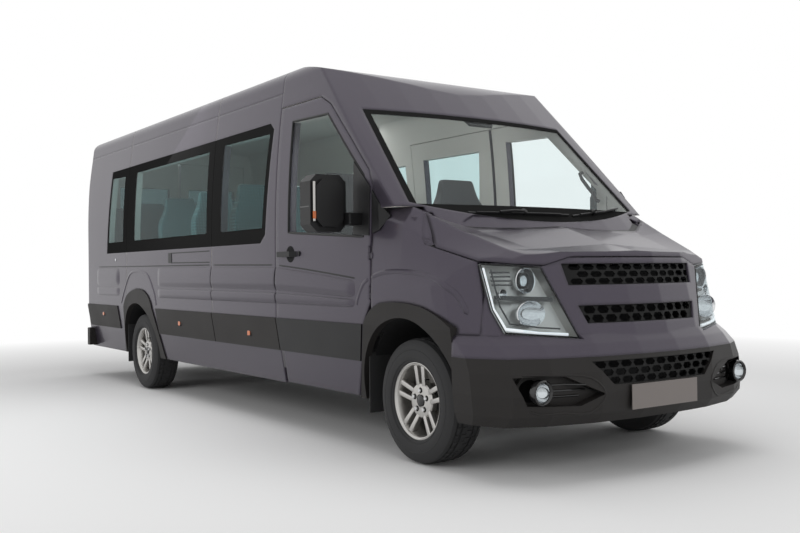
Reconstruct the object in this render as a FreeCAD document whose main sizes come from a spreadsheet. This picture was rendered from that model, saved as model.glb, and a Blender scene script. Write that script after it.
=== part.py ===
import FreeCAD, Part
import math
import os
from types import SimpleNamespace

import Sketcher
from FreeCAD import Placement, Rotation, Vector

# Minibus with a long wheelbase and right-hand drive, parked on its wheels.
# Millimetres. +X is forward, +Y the vehicle's left, +Z up, and the origin is on the floor under the middle.
# Every size is a cell of the sheet. A Size keeps its cell's formula, so that it can bind a property.

SIZES = [
    ("overall_length", 7010, "over both bumpers"),
    ("overall_height", 2550, "floor to the roof's crown"),
    ("body_width", 2076, "over the painted sides at the waist"),
    ("trim_thickness", 9.5, "side mouldings and arch flares, proud of the paint"),
    ("wheelbase", 4400, "front axle to rear axle"),
    ("front_overhang", 950, "front bumper to the front axle"),
    ("wall", 60, "side walls, doors and pillars, inside face to paint"),
    ("roof_wall", 45, "roof skin with its lining"),
    ("shut_gap", 6, "gap round each door and lid"),
    ("seat_gap", 0.3, "between pieces that rest on one another"),
    ("sill_bottom", 315, "lower edge of the sides"),
    ("sill_tuck", 75, "how far the sill leans in at its lower edge"),
    ("moulding_bottom", 544, "lower edge of the side moulding"),
    ("moulding_top", 772, "upper edge of the side moulding"),
    ("waist_height", 1235, "where the side starts to lean in"),
    ("gutter_height", 2342, "joint of side wall and roof"),
    ("gutter_lean", 75, "how far the side has leaned in at the gutter"),
    ("side_bow", 7600, "radius of the side above the waist"),
    ("cant_height", 2425, "start of the roof's edge radius"),
    ("cant_radius", 105, "roof's edge radius"),
    ("crown_half", 870, "half width of the roof's crown arc"),
    ("crown_drop", 37, "crown to the start of the edge radius"),
    ("crown_radius", 10250, "radius of the roof's crown"),
    ("rear_inset", 35, "rear doors' skin, ahead of the rear bumper"),
    ("rear_lean", 40, "how far the rear face leans in at the roof"),
    ("rear_top_radius", 130, "roof to rear face"),
    ("rear_corner_radius", 110, "side to rear face"),
    ("brow_start", 550, "where the roof begins to fall towards the windscreen"),
    ("brow_radius", 4000, "radius of that fall"),
    ("brow_end", 1480, "where the fall turns down to the windscreen"),
    ("brow_blend", 665, "radius between roof and windscreen"),
    ("windscreen_base_x", 2655, "windscreen's middle at the scuttle's height"),
    ("scuttle_height", 1400, "height of the windscreen's foot"),
    ("windscreen_rake", 1.0, "backward lean per unit of height"),
    ("windscreen_bow", 4000, "radius of the windscreen seen from above"),
    ("windscreen_foot_half", 935, "half width of the screen's opening at the foot"),
    ("windscreen_head_half", 852, "half width at the head"),
    ("windscreen_head", 2130, "height of the screen's upper edge"),
    ("glass", 5, "glass thickness"),
    ("door_rear_x", 996, "seam at the door pillar"),
    ("door_front_x", 2200, "seam at the hinge pillar"),
    ("door_head", 2232, "upper edge of the front door"),
    ("slide_rear_x", -103, "seam behind the sliding door"),
    ("rear_seam_x", -2143, "seam at the rearmost pillar"),
    ("band_bottom", 1297, "lower edge of the dark window band"),
    ("band_top", 2150, "upper edge of the dark window band"),
    ("band_rear_x", -2735, "rear end of the band"),
    ("band_front_x", 905, "front end of the band"),
    ("pane_bottom", 1405, "lower edge of the clear panes"),
    ("pane_top", 2062, "upper edge of the clear panes"),
    ("tyre_diameter", 708, "unloaded"),
    ("tyre_width", 235, "section width"),
    ("rim_diameter", 441, "over the rim's lip"),
    ("rim_width", 190, "between the rim's lips, outside"),
    ("track", 1735, "between the tyres' middles"),
    ("kingpin_offset", 92.5, "steering axis, inboard of the tyre's middle"),
    ("front_arch_radius", 470, "wheel opening, front"),
    ("rear_arch_radius", 455, "wheel opening, rear"),
    ("front_arch_shift", -40, "front opening's middle, ahead of the axle"),
    ("rear_arch_shift", -25, "rear opening's middle, ahead of the axle"),
    ("flare_width", 118, "radial width of the arch flares"),
    ("wheelhouse_half", 515, "inner wall of the wheel housings, from the middle"),
    ("floor_top", 690, "cabin floor"),
    ("floor_depth", 70, "floor sandwich"),
    ("frame_top", 560, "top of the chassis rails"),
    ("rail_height", 130, "chassis rail"),
    ("rail_width", 70, "chassis rail's flanges"),
    ("rail_sheet", 8, "chassis rail's sheet, both layers"),
    ("rail_half", 440, "outside of the rails, from the middle"),
    ("seat_width", 430, "passenger seat"),
    ("seat_pitch", 790, "between rows"),
    ("nose_sheet", 22, "bonnet, wings and nose panel with their inner frames"),
    ("nose_lean", 0.25, "backward lean of the nose per unit of height"),
    ("bumper_wall", 26, "bumper skins"),
    ("paint_line", 636, "joint of the painted strip and the dark bumper"),
    ("rear_door_half", 800, "half width of the rear opening"),
    ("rear_door_bottom", 525, "lower edge of the rear doors"),
    ("lens", 4, "lamp lenses"),
    ("wing_top", 1457, "joint of wing and windscreen pillar"),
    ("spoke_width", 26, "wheel spoke"),
    ("hub_radius", 68, "wheel centre"),
    ("disc_radius", 150, "brake discs"),
    ("hinge_pin", 3, "radius of the cab doors' hinge pins"),
    ("hinge_barrel", 5, "radius of the cab doors' hinge barrels"),
    ("hinge_inset", 10, "cab doors' hinge axis, behind the door's front seam"),
    ("hinge_depth", 4, "cab doors' hinge axis, inside the paint"),
    ("rear_hinge_pin", 5, "radius of the rear doors' hinge pins"),
    ("rear_hinge_barrel", 9, "radius of the rear doors' hinge barrels"),
    ("rear_hinge_stand", 15, "rear doors' hinge axis, behind their skin"),
    ("running", 0.08, "radial clearance of a pin in its bore"),
    ("bonnet_hinge_x", 2545, "bonnet's hinge axis"),
    ("bonnet_hinge_z", 1386, "bonnet's hinge axis"),
    ("bonnet_hinge_pin", 4, "radius of the bonnet's hinge pins"),
    ("tow_bolt", 7, "radius of the towing bracket's bolt holes"),
    ("engine_length", 620, "block with its ancillaries"),
    ("engine_width", 520, "block with its ancillaries"),
    ("engine_height", 560, "block with its ancillaries"),
]


class Size:
    """A value from the sheet that keeps its formula."""

    def __init__(self, value, formula):
        self.value = float(value)
        self.formula = formula

    def joined(self, other, sign, value, swapped=False):
        theirs = other.formula if isinstance(other, Size) else repr(float(other))
        left, right = (theirs, self.formula) if swapped else (self.formula, theirs)
        return Size(value, f"({left} {sign} {right})")

    def __add__(self, other):
        return self.joined(other, "+", self.value + float(other))

    __radd__ = __add__

    def __sub__(self, other):
        return self.joined(other, "-", self.value - float(other))

    def __rsub__(self, other):
        return self.joined(other, "-", float(other) - self.value, True)

    def __mul__(self, other):
        return self.joined(other, "*", self.value * float(other))

    __rmul__ = __mul__

    def __truediv__(self, other):
        return self.joined(other, "/", self.value / float(other))

    def __neg__(self):
        return Size(-self.value, f"(0 - {self.formula})")

    def __float__(self):
        return self.value


doc = FreeCAD.newDocument("minibus")
sheet = doc.addObject("Spreadsheet::Sheet", "Sizes")
for row, (alias, value, note) in enumerate(SIZES, 1):
    sheet.set(f"A{row}", note)
    sheet.set(f"B{row}", str(value))
    sheet.setAlias(f"B{row}", alias)
doc.recompute()
mm = SimpleNamespace(**{alias: Size(sheet.get(alias), "Sizes." + alias) for alias, _, _ in SIZES})

nodes = {}

# Places worked out from the sheet
front_end = mm.overall_length / 2
rear_end = -front_end
front_axle = front_end - mm.front_overhang
rear_axle = front_axle - mm.wheelbase
half_side = mm.body_width / 2
rear_skin = rear_end + mm.rear_inset
axle_height = mm.tyre_diameter / 2
wheel_y = mm.track / 2
kingpin_y = wheel_y - mm.kingpin_offset
front_arch_x = front_axle + mm.front_arch_shift
rear_arch_x = rear_axle + mm.rear_arch_shift
floor_bottom = mm.floor_top - mm.floor_depth
windscreen_slant = math.sqrt(1 + float(mm.windscreen_rake) ** 2)

PLANES = {
    "XY": Rotation(),
    "XZ": Rotation(Vector(1, 0, 0), 90),
    "YZ": Rotation(Vector(1, 1, 1), 120),
}
NORMALS = {"XY": Vector(0, 0, 1), "XZ": Vector(0, 1, 0), "YZ": Vector(1, 0, 0)}
ACROSS = {"XY": "z", "XZ": "y", "YZ": "x"}


def formula(value):
    return value.formula if isinstance(value, Size) else repr(float(value))


def bind(thing, prop, value):
    thing.setExpression(prop, formula(value))


def bind_place(thing, x, y, z):
    for axis, value in zip("xyz", (x, y, z)):
        bind(thing, "Placement.Base." + axis, value)


def part(label, thing):
    """Marks an object as one of the sub-parts that are written out."""
    thing.Label = label
    nodes[label] = thing
    return thing


def box(name, x, y, z):
    """A block between two places on each axis."""
    block = doc.addObject("Part::Box", name)
    bind(block, "Length", x[1] - x[0] if isinstance(x[1], Size) else float(x[1]) - x[0])
    bind(block, "Width", y[1] - y[0] if isinstance(y[1], Size) else float(y[1]) - y[0])
    bind(block, "Height", z[1] - z[0] if isinstance(z[1], Size) else float(z[1]) - z[0])
    bind_place(block, x[0], y[0], z[0])
    return block


def rod(name, radius, start, axis, length):
    """A cylinder from a start point along X, Y or Z."""
    turn = {"x": Rotation(Vector(0, 1, 0), 90), "y": Rotation(Vector(1, 0, 0), -90), "z": Rotation()}[axis]
    cylinder = doc.addObject("Part::Cylinder", name)
    cylinder.Placement = Placement(Vector(), turn)
    bind(cylinder, "Radius", radius)
    bind(cylinder, "Height", length)
    bind_place(cylinder, *start)
    return cylinder


def sketch(name, points, plane, at=0.0, arcs=None):
    """A closed outline. Arcs give a radius for the stretch after a point, negative where it is hollow."""
    arcs = arcs or {}
    outline = doc.addObject("Sketcher::SketchObject", name)
    spots = [Vector(float(u), float(v), 0) for u, v in points]
    geometry, first, last = [], [], []
    for i, start in enumerate(spots):
        end = spots[(i + 1) % len(spots)]
        if i in arcs:
            radius = float(arcs[i])
            chord = end - start
            reach = math.sqrt(max(radius * radius - (chord.Length / 2) ** 2, 0))
            side = Vector(-chord.y, chord.x, 0).normalize() * math.copysign(reach, radius)
            centre = (start + end) * 0.5 + side
            outward = (side * -1).normalize() if reach > 1e-9 else Vector(chord.y, -chord.x, 0).normalize()
            middle = centre + outward * abs(radius)
            geometry.append(Part.Arc(start, middle, end))
            turned = radius < 0
            first.append(2 if turned else 1)
            last.append(1 if turned else 2)
        else:
            geometry.append(Part.LineSegment(start, end))
            first.append(1)
            last.append(2)
    outline.addGeometry(geometry, False)
    rules, formulas = [], []
    for i, (u, v) in enumerate(points):
        follower = (i + 1) % len(points)
        rules.append(Sketcher.Constraint("Coincident", i, last[i], follower, first[follower]))
    for i, (u, v) in enumerate(points):
        formulas.append((len(rules), u))
        rules.append(Sketcher.Constraint("DistanceX", i, first[i], float(u)))
        formulas.append((len(rules), v))
        rules.append(Sketcher.Constraint("DistanceY", i, first[i], float(v)))
    for i, radius in arcs.items():
        size = radius if float(radius) > 0 else -radius
        formulas.append((len(rules), size))
        rules.append(Sketcher.Constraint("Radius", i, float(size)))
    outline.addConstraint(rules)
    for index, value in formulas:
        if isinstance(value, Size):
            outline.setExpression(f"Constraints[{index}]", value.formula)
    outline.Placement = Placement(Vector(), PLANES[plane])
    bind(outline, "Placement.Base." + ACROSS[plane], at)
    return outline


def prism(name, points, plane, start, end, arcs=None, direction=None):
    """A closed outline on a plane, pushed from start to end across it."""
    outline = sketch(name + "_outline", points, plane, start, arcs)
    solid = doc.addObject("Part::Extrusion", name)
    solid.Base = outline
    solid.DirMode = "Custom"
    solid.Dir = direction or NORMALS[plane]
    solid.Solid = True
    length = end - start if isinstance(end, Size) or isinstance(start, Size) else float(end) - float(start)
    if direction:
        length = length * (direction.Length / abs(direction.z))
    bind(solid, "LengthFwd", length)
    return solid


def cut(name, base, *tools):
    result = doc.addObject("Part::Cut", name)
    result.Base = base
    result.Tool = tools[0] if len(tools) == 1 else fuse(name + "_tools", *tools)
    return result


def fuse(name, *shapes):
    result = doc.addObject("Part::MultiFuse", name)
    result.Shapes = list(shapes)
    return result


def common(name, *shapes):
    result = doc.addObject("Part::MultiCommon", name)
    result.Shapes = list(shapes)
    return result


def mirrored(name, source):
    """The same piece on the other side of the vehicle."""
    twin = doc.addObject("Part::Mirroring", name)
    twin.Source = source
    twin.Normal = Vector(0, 1, 0)
    return twin


def both(name, source):
    """A piece and its twin on the other side, as one sub-part of two solids."""
    pair = doc.addObject("Part::Compound", name)
    pair.Links = [source, mirrored(name + "_twin", source)]
    return pair


def feature(name, shape):
    thing = doc.addObject("Part::Feature", name)
    thing.Shape = shape
    return thing


def around(points):
    """An outline in one half, closed by its mirror image across the middle plane."""
    return points + [(-u, v) for u, v in reversed(points)]



def screen_prism(name, ahead):
    """Everything behind the windscreen's surface, which is moved ahead along X."""
    lean = Vector(-float(mm.windscreen_rake), 0, 1)
    reach = half_side * 1.15
    foot = mm.sill_bottom - 150
    apex = mm.windscreen_base_x + mm.windscreen_rake * (mm.scuttle_height - foot) + ahead
    bow = float(mm.windscreen_bow)
    facets = 10
    curve = []
    for i in range(facets + 1):
        y = float(reach) * (2 * i / facets - 1)
        curve.append((apex - (bow - math.sqrt(bow * bow - y * y)), y))
    plan = [(rear_end - 300, -reach)] + curve + [(rear_end - 300, reach)]
    return prism(name, plan, "XY", foot, mm.overall_height + 100, None, lean)


def body_form(name, skin):
    """The body aft of the bonnet, drawn in by skin from its painted surface."""
    deep = float(skin) > 20
    top = mm.overall_height - (mm.roof_wall if deep else skin)
    half = half_side - skin
    bottom = mm.sill_bottom - (100 if float(skin) > 0 else 0)
    section = [
        (half - mm.sill_tuck, bottom),
        (half, mm.moulding_top),
        (half, mm.waist_height),
        (half - mm.gutter_lean, mm.gutter_height),
        (half - mm.gutter_lean - 10, mm.cant_height - skin / 2),
        (mm.crown_half - skin / 2, top - mm.crown_drop),
    ]
    arcs = {2: mm.side_bow, 4: mm.cant_radius, 5: mm.crown_radius, 6: mm.cant_radius, 8: mm.side_bow}
    section_solid = prism(name + "_section", around(section), "YZ", rear_end - 300, front_end, arcs)
    rear = rear_skin + skin
    fall = math.asin(float(mm.brow_end - mm.brow_start) / float(mm.brow_radius))
    brow = top - float(mm.brow_radius) * (1 - math.cos(fall))
    rake = math.atan2(1, float(mm.windscreen_rake))
    turn = (fall + rake) / 2
    chord = 2 * float(mm.brow_blend) * math.sin((rake - fall) / 2)
    blend_end = (mm.brow_end + chord * math.cos(turn), brow - chord * math.sin(turn))
    profile = [
        (rear, bottom - 10),
        (front_end, bottom - 10),
        (front_end, blend_end[1]),
        blend_end,
        (mm.brow_end, brow),
        (mm.brow_start, top),
        (rear + mm.rear_lean + mm.rear_top_radius, top),
        (rear + mm.rear_lean, top - mm.rear_top_radius),
        (rear, mm.waist_height),
    ]
    wide = half_side * 1.2
    profile_arcs = {3: mm.brow_blend, 4: mm.brow_radius, 6: mm.rear_top_radius}
    side = prism(name + "_profile", profile, "XZ", -wide, wide, profile_arcs)
    screen = screen_prism(name + "_screen", -skin * windscreen_slant)
    corner = mm.rear_corner_radius - skin / 2
    ends = [
        (rear, corner - half),
        (rear + corner, -half),
        (front_end + 100, -half),
        (front_end + 100, half),
        (rear + corner, half),
        (rear, half - corner),
    ]
    plan = prism(name + "_plan", ends, "XY", mm.sill_bottom - 150, mm.overall_height + 100, {0: corner, 4: corner})
    return common(name, section_solid, side, screen, plan)


# Cross-sections of the nose: distance behind the front bumper, height at the middle, then the bonnet's crease,
# its shoulder, the shut line and the wing's side, each as how far in from the painted side and how high.
NOSE_SECTIONS = [
    (1400, 1525, (255, 1515), (70, 1560), (12, 1440), (0, 1010)),
    (1005, 1430, (280, 1412), (110, 1452), (28, 1350), (0, 1010)),
    (715, 1335, (375, 1300), (185, 1320), (70, 1215), (2, 1000)),
    (405, 1232, (468, 1200), (285, 1196), (140, 1130), (14, 960)),
    (205, 1190, (548, 1174), (410, 1128), (272, 1068), (104, 900)),
    (35, 1172, (590, 1160), (460, 1105), (340, 1040), (190, 880)),
]


def nose_form(name, skin):
    """Bonnet, wings and nose as one solid, drawn in by skin."""
    inset = float(skin)
    wires = []
    for back, crown, crease, shoulder, shut, side in NOSE_SECTIONS:
        x = float(front_end) - back
        half = float(half_side) - inset
        flank = [
            (half - side[0] - float(mm.sill_tuck), float(mm.sill_bottom) - (100 if inset > 0 else 0)),
            (half - side[0], float(mm.moulding_top)),
            (half - side[0], side[1] - inset / 2),
            (half - shut[0], shut[1] - inset),
            (half - shoulder[0], shoulder[1] - inset),
            (half - crease[0], crease[1] - inset),
        ]
        ring = [Vector(x, y, z) for y, z in flank] + [Vector(x, 0, crown - inset)]
        ring += [Vector(x, -y, z) for y, z in reversed(flank)]
        wires.append(Part.makePolygon(ring + ring[:1]))
    loft = feature(name + "_loft", Part.makeLoft(wires, True, True))
    tip = front_end - 75 - skin
    plan = [
        (tip - 1700, 1080),
        (tip - 830, 1080),
        (tip - 480, 1020 - skin),
        (tip - 300, 930 - skin),
        (tip - 160, 780 - skin * 0.8),
        (tip - 50, 440 - skin * 0.3),
        (tip, 130),
    ]
    start = 100
    lean = Vector(-float(mm.nose_lean), 0, 1)
    shift = mm.nose_lean * (720 - start)
    half = [(x + shift, y) for x, y in plan]
    outline = [(x, -y) for x, y in half] + half[::-1]
    face = prism(name + "_face", outline, "XY", start, 1700, None, lean)
    return common(name, loft, face)



# Plan outlines of the front bumper, by height: how far behind the front end it is at the middle, at 450, at 740
# and at 930 from the middle, then where the corner ends and its half width.
BUMPER_SECTIONS = [
    (290, 55, 80, 146, 240, 420, 1002),
    (345, 10, 34, 98, 190, 380, 1024),
    (450, 0, 26, 88, 180, 380, 1036),
    (560, 6, 33, 98, 195, 390, 1040),
    (640, 20, 50, 120, 225, 420, 1040),
    (700, 52, 84, 168, 290, 480, 1038),
    (748, 92, 128, 225, 360, 560, 1030),
]


def bumper_form(name, skin):
    """The front bumper with the painted strip above it, drawn in by skin."""
    inset = float(skin)
    wires = []
    for height, middle, near, cheek, far, corner, half in BUMPER_SECTIONS:
        outline = [
            (middle, 150),
            (near, 450 - 0.2 * inset),
            (cheek, 740 - 0.6 * inset),
            (far, 930 - 0.8 * inset),
            (corner, half - inset),
            (900, half - inset),
        ]
        spots = [Vector(float(front_end) - back - inset, y, height) for back, y in outline]
        spots += [Vector(spot.x, -spot.y, height) for spot in reversed(spots)]
        wires.append(Part.makePolygon(spots + spots[:1]))
    return feature(name, Part.makeLoft(wires, True, True))


def grown(points, by, middle):
    """An outline pushed out from a middle point by about so much on each axis."""
    result = []
    for u, v in points:
        right = 1 if float(u) > middle[0] else -1
        above = 1 if float(v) > middle[1] else -1
        result.append((u + by * right, v + by * above))
    return result


def rounded(y, z, radius):
    """A rectangle with cut corners, as points."""
    (y0, y1), (z0, z1) = y, z
    return [(y0 + radius, z0), (y1 - radius, z0), (y1, z0 + radius), (y1, z1 - radius),
            (y1 - radius, z1), (y0 + radius, z1), (y0, z1 - radius), (y0, z0 + radius)]


def barrel_hinge(name, axis, barrel, pin, leaf_depth, heights):
    """Upright hinge for the right side, as its fixed half and its moving half with the pin.

    The axis is (x, y). A leaf is a block whose far corner lies at leaf_depth from the axis.
    """
    x, y = axis
    fixed, moving = [], []
    for i, z in enumerate(heights):
        label = f"{name}_{i}"
        low, high = z - 34, z - 1
        knuckle = rod(label + "_knuckle", barrel, (x, y, low), "z", 33)
        leaf = box(label + "_fixed_leaf", *leaf_depth["fixed"], (low, high))
        bore = rod(label + "_bore", pin + mm.running, (x, y, low - 1), "z", 35)
        fixed.append(cut(label + "_fixed", fuse(label + "_fixed_solid", knuckle, leaf), bore))
        moving.append(rod(label + "_barrel", barrel, (x, y, z + 1), "z", 33))
        moving.append(rod(label + "_pin", pin, (x, y, z - 33), "z", 50))
        moving.append(box(label + "_leaf", *leaf_depth["moving"], (z + 1, z + 34)))
    return fuse(name + "_fixed", *fixed), fuse(name + "_moving", *moving)


zero = mm.glass * 0
gap = mm.shut_gap
seat = mm.seat_gap
trim_out = -mm.trim_thickness

body_outer = body_form("body_outer", zero)
body_inner = body_form("body_inner", mm.wall)
body_glass = body_form("body_glass", mm.glass)
body_rebate = body_form("body_rebate", mm.glass + seat)
body_deep_glass = body_form("body_deep_glass", mm.glass * 2 + seat)
body_proud = body_form("body_proud", trim_out)
body_under_trim = body_form("body_under_trim", -seat)
nose_outer = nose_form("nose_outer", zero)
nose_inner = nose_form("nose_inner", mm.nose_sheet)
bumper_outer = bumper_form("bumper_outer", zero)
bumper_inner = bumper_form("bumper_inner", mm.bumper_wall)

shell = cut("body_shell", body_outer, body_inner)
pane_layer = cut("pane_layer", body_outer, body_glass)
rebate_layer = cut("rebate_layer", body_outer, body_rebate)
door_pane_layer = cut("door_pane_layer", body_rebate, body_deep_glass)
trim_layer = cut("trim_layer", body_proud, body_under_trim)
nose_shell = cut("nose_shell", nose_outer, nose_inner)
bumper_shell = cut("bumper_shell", bumper_outer, bumper_inner)

reach = half_side + 250
wall_front = mm.door_rear_x - gap / 2
door_back = mm.door_rear_x + gap / 2
wing_back = mm.door_front_x + gap


def across(name, points, arcs=None, start=None, end=None):
    """An outline seen from the side, cut right across the vehicle unless told otherwise."""
    return prism(name, points, "XZ", -reach if start is None else start, reach if end is None else end, arcs)


def along(name, points, start, end, arcs=None):
    """An outline seen from the front, cut along the vehicle."""
    return prism(name, points, "YZ", start, end, arcs)


def door_outline(grow):
    """Front door seen from the side."""
    foot = mm.door_front_x - 248
    return [
        (door_back - grow, mm.sill_bottom + 8 - grow),
        (foot + grow, mm.sill_bottom + 8 - grow),
        (foot + 94 + grow, 560),
        (mm.door_front_x - 85 + grow, mm.moulding_top + 3),
        (mm.door_front_x - 6 + grow, 905),
        (mm.door_front_x + grow, mm.waist_height),
        (mm.door_front_x + 14 + grow, 1600),
        (mm.door_front_x - 22 + grow, 1690 + grow * 0.6),
        (mm.door_front_x - 237 + grow, 1900 + grow * 0.6),
        (mm.door_front_x - 520 + grow * 0.6, 2160 + grow),
        (mm.door_front_x - 655, mm.door_head - 3 + grow),
        (door_back - grow, mm.door_head + grow),
    ]


def flare_outline(front, grow):
    """Outer edge of an arch flare, front or rear, down to the sill."""
    low = mm.sill_bottom - 60
    if front:
        foot = mm.door_front_x - 248 + gap * 2
        return [
            (foot - grow, low),
            (foot + 94 - grow, 560),
            (foot + 163 - grow, mm.moulding_top + 3),
            (foot + 335, 900 + grow),
            (foot + 740, 890 + grow),
            (foot + 1006 + grow, 785 + grow),
            (foot + 1006 + grow, low),
        ]
    return [
        (rear_arch_x - 520 - grow, low),
        (rear_arch_x - 346 - grow, mm.moulding_top + 10),
        (rear_arch_x - 180, 905 + grow),
        (rear_arch_x + 130, 940 + grow),
        (rear_arch_x + 320 + grow, 885 + grow),
        (rear_arch_x + 420 + grow, mm.moulding_top + 10),
        (rear_arch_x + 497 + grow, 561),
        (rear_arch_x + 605 + grow, low),
    ]


front_flare_arcs = {2: -260, 3: -1400, 4: -900}
rear_flare_arcs = {1: -260, 2: -700, 3: -400, 4: -260}

# Wheel openings and housings
def opening(name, x, radius, start, end):
    return rod(name, radius, (x, start, axle_height), "y", end - start)


wheel_wells = {
    "front": (front_arch_x, mm.front_arch_radius),
    "rear": (rear_arch_x, mm.rear_arch_radius),
}
outside = half_side + 100
flare_cut = {}
for place, (x, radius) in wheel_wells.items():
    front = place == "front"
    outline = flare_outline(front, seat)
    flare_cut[place] = across(place + "_flare_cut", outline, front_flare_arcs if front else rear_flare_arcs)

# Hinges
rear_axis = (rear_skin - mm.rear_hinge_stand, -mm.rear_door_half - gap / 2)
rear_leaf_x = (rear_axis[0] + 3, rear_skin + 90)
rear_fixed, rear_moving = barrel_hinge("rear_hinge", rear_axis, mm.rear_hinge_barrel, mm.rear_hinge_pin, {
    "fixed": (rear_leaf_x, (rear_axis[1] - 47, rear_axis[1])),
    "moving": (rear_leaf_x, (rear_axis[1], rear_axis[1] + 47)),
}, (700, 1440, 2180))
rear_fixed = cut("rear_hinge_wall_half", rear_fixed, body_glass)
rear_moving = cut("rear_hinge_door_half", rear_moving, body_glass)
door_axis = (mm.door_front_x - mm.hinge_inset, -half_side + mm.hinge_depth)
door_hinge_heights = (962, 1198)
door_fixed, door_moving = barrel_hinge("door_hinge", door_axis, mm.hinge_barrel, mm.hinge_pin, {
    "fixed": ((door_axis[0], wing_back + 12), (door_axis[1] - 2, door_axis[1] + 4)),
    "moving": ((door_axis[0] - 18, door_axis[0]), (door_axis[1] - 2, door_axis[1] + 4)),
}, door_hinge_heights)
door_notches = [box(f"door_notch_{i}", (door_axis[0] - 8, mm.door_front_x + 5), (-reach, door_axis[1] + 11),
                    (z - 41, z + 41)) for i, z in enumerate(door_hinge_heights)]

# Windows in the side walls
band_points = [
    (mm.band_rear_x, mm.band_bottom),
    (mm.band_front_x - 145, mm.band_bottom),
    (mm.band_front_x - 70, mm.band_bottom + 60),
    (mm.band_front_x, mm.band_top - 50),
    (mm.band_front_x - 60, mm.band_top),
    (mm.band_rear_x + 65, mm.band_top - 22),
]
pane_points = {
    "rear": [(mm.rear_seam_x - 547, mm.pane_bottom), (mm.rear_seam_x - 95, mm.pane_bottom),
             (mm.rear_seam_x - 112, mm.pane_top - 16), (mm.rear_seam_x - 497, mm.pane_top - 6)],
    "middle": [(mm.rear_seam_x + 225, mm.pane_bottom), (mm.slide_rear_x - 102, mm.pane_bottom),
               (mm.slide_rear_x - 112, mm.pane_top), (mm.rear_seam_x + 219, mm.pane_top - 6)],
    "front": [(mm.slide_rear_x + 171, mm.pane_bottom), (mm.band_front_x - 120, mm.pane_bottom),
              (mm.band_front_x - 59, mm.pane_top + 12), (mm.slide_rear_x + 171, mm.pane_top + 20)],
}
band = across("window_band", band_points)
band_rebate = common("band_rebate", rebate_layer, across("band_edge", grown(band_points, seat, (-900, 1700))))
panes = [across(f"pane_{name}", points) for name, points in pane_points.items()]
seams = [box("seam_rear", (mm.rear_seam_x - gap / 2, mm.rear_seam_x + gap / 2), (-reach, reach), (0.0, 3000.0)),
         box("seam_slide", (mm.slide_rear_x - gap / 2, mm.slide_rear_x + gap / 2), (-reach, reach), (0.0, 3000.0))]

# Lamps, door openings and other cuts in the walls
rear_opening = box("rear_opening", (rear_end - 100, rear_skin + 170),
                   (-mm.rear_door_half - gap, mm.rear_door_half + gap), (0.0, mm.gutter_height - 3 + seat))


def tail_lamp_block(name, grow):
    block = box(name, (rear_end - 100, rear_skin + 58 + grow), (-reach, -mm.rear_door_half - 75 + grow),
                (860 - grow, 1440 + grow))
    return both(name + "_pair", block)


tail_cut = tail_lamp_block("tail_cut", seat)
wall_top = mm.gutter_height - 3
right_half = box("right_half", (rear_end - 100, wall_front), (-reach, 0.0), (0.0, wall_top))
wall_base = cut("wall_base", common("wall_half", shell, right_half), rear_opening, flare_cut["rear"],
                band_rebate, tail_cut, *panes)
wall_grooves = common("wall_grooves", cut("groove_layer", body_proud, body_glass), fuse("seam_slabs", *seams))
wall_plain = cut("wall_plain", wall_base, wall_grooves)
part("side_wall_right", fuse("wall_right", wall_plain, rear_fixed))

slide_front = wall_front
slide_zone = box("slide_zone", (mm.slide_rear_x + gap / 2, slide_front), (-reach, 0.0),
                 (mm.sill_bottom + 8.0, mm.door_head))
slide_cut = box("slide_cut", (mm.slide_rear_x - gap / 2, slide_front + 10), (-reach, 0.0),
                (0.0, mm.door_head + gap))
part("side_wall_left", mirrored("wall_left", fuse("wall_left_right", cut("wall_open", wall_plain, slide_cut),
                                                  rear_fixed)))
sliding = common("sliding_right", wall_base, slide_zone)
part("sliding_door", mirrored("sliding", sliding))

# Roof and cab
roof_zone = box("roof_zone", (rear_end - 100, wall_front), (-reach, reach), (wall_top + seat, 3000.0))
part("roof", cut("roof_panel", common("roof_half", shell, roof_zone), wall_grooves))

screen_ahead = screen_prism("screen_ahead", 45)
screen_here = screen_prism("screen_here", 0.6)
foot, head = mm.windscreen_foot_half, mm.windscreen_head_half


def screen_outline(grow):
    return [
        (-foot - grow, mm.scuttle_height + 85 - grow),
        (foot + grow, mm.scuttle_height + 85 - grow),
        (head + grow, mm.windscreen_head - 12 + grow),
        (-head - grow, mm.windscreen_head - 12 + grow),
    ]


screen_arcs = {0: 4200}
screen_hole = along("screen_hole", screen_outline(seat), 1300, front_end, screen_arcs)
cab_zone = box("cab_zone", (wall_front + seat, front_end), (-reach, reach), (1300.0, 3000.0))
wing_zone = both("wing_zone", box("wing_zone_right", (wing_back, front_end), (-reach, -860.0),
                                  (0.0, mm.wing_top + seat)))
door_hole = across("door_hole", door_outline(gap))
hinge_room = both("hinge_room", box("hinge_room_right", (mm.bonnet_hinge_x - 22, mm.bonnet_hinge_x + 130),
                                    (-866.0, -829.0), (1290.0, mm.bonnet_hinge_z + 36)))
cab = cut("cab_cut", common("cab_common", shell, cab_zone), door_hole, screen_hole, wing_zone, hinge_room)
post = both("hinge_posts", box("hinge_post", (wing_back + 12, wing_back + 85),
                               (-half_side + mm.nose_sheet + 23, -half_side + 105),
                               (mm.floor_top + seat, mm.wing_top + 50)))
housing_room = both("housing_room", rod("housing_drum", mm.front_arch_radius + 8 + seat, (front_arch_x, -half_side,
                                                                             axle_height), "y", 300))
part("cab_shell", fuse("cab", cab, cut("hinge_posts_cut", post, housing_room, flare_cut["front"],
                                                common("post_room", nose_shell, wing_zone))))
part("windscreen", common("screen_glass", pane_layer, along("screen_pane", screen_outline(zero), 1300, front_end,
                                                            screen_arcs)))

# Side glass, three panes a side with a joint at each pillar
glass_band = common("glass_band", pane_layer, band)
glass_right = cut("glass_right", common("glass_half", glass_band, box("glass_side", (rear_end, front_end),
                  (-reach, 0.0), (0.0, 3000.0))), *[seams[0], seams[1]])
part("side_windows", both("glass_both", glass_right))

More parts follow.
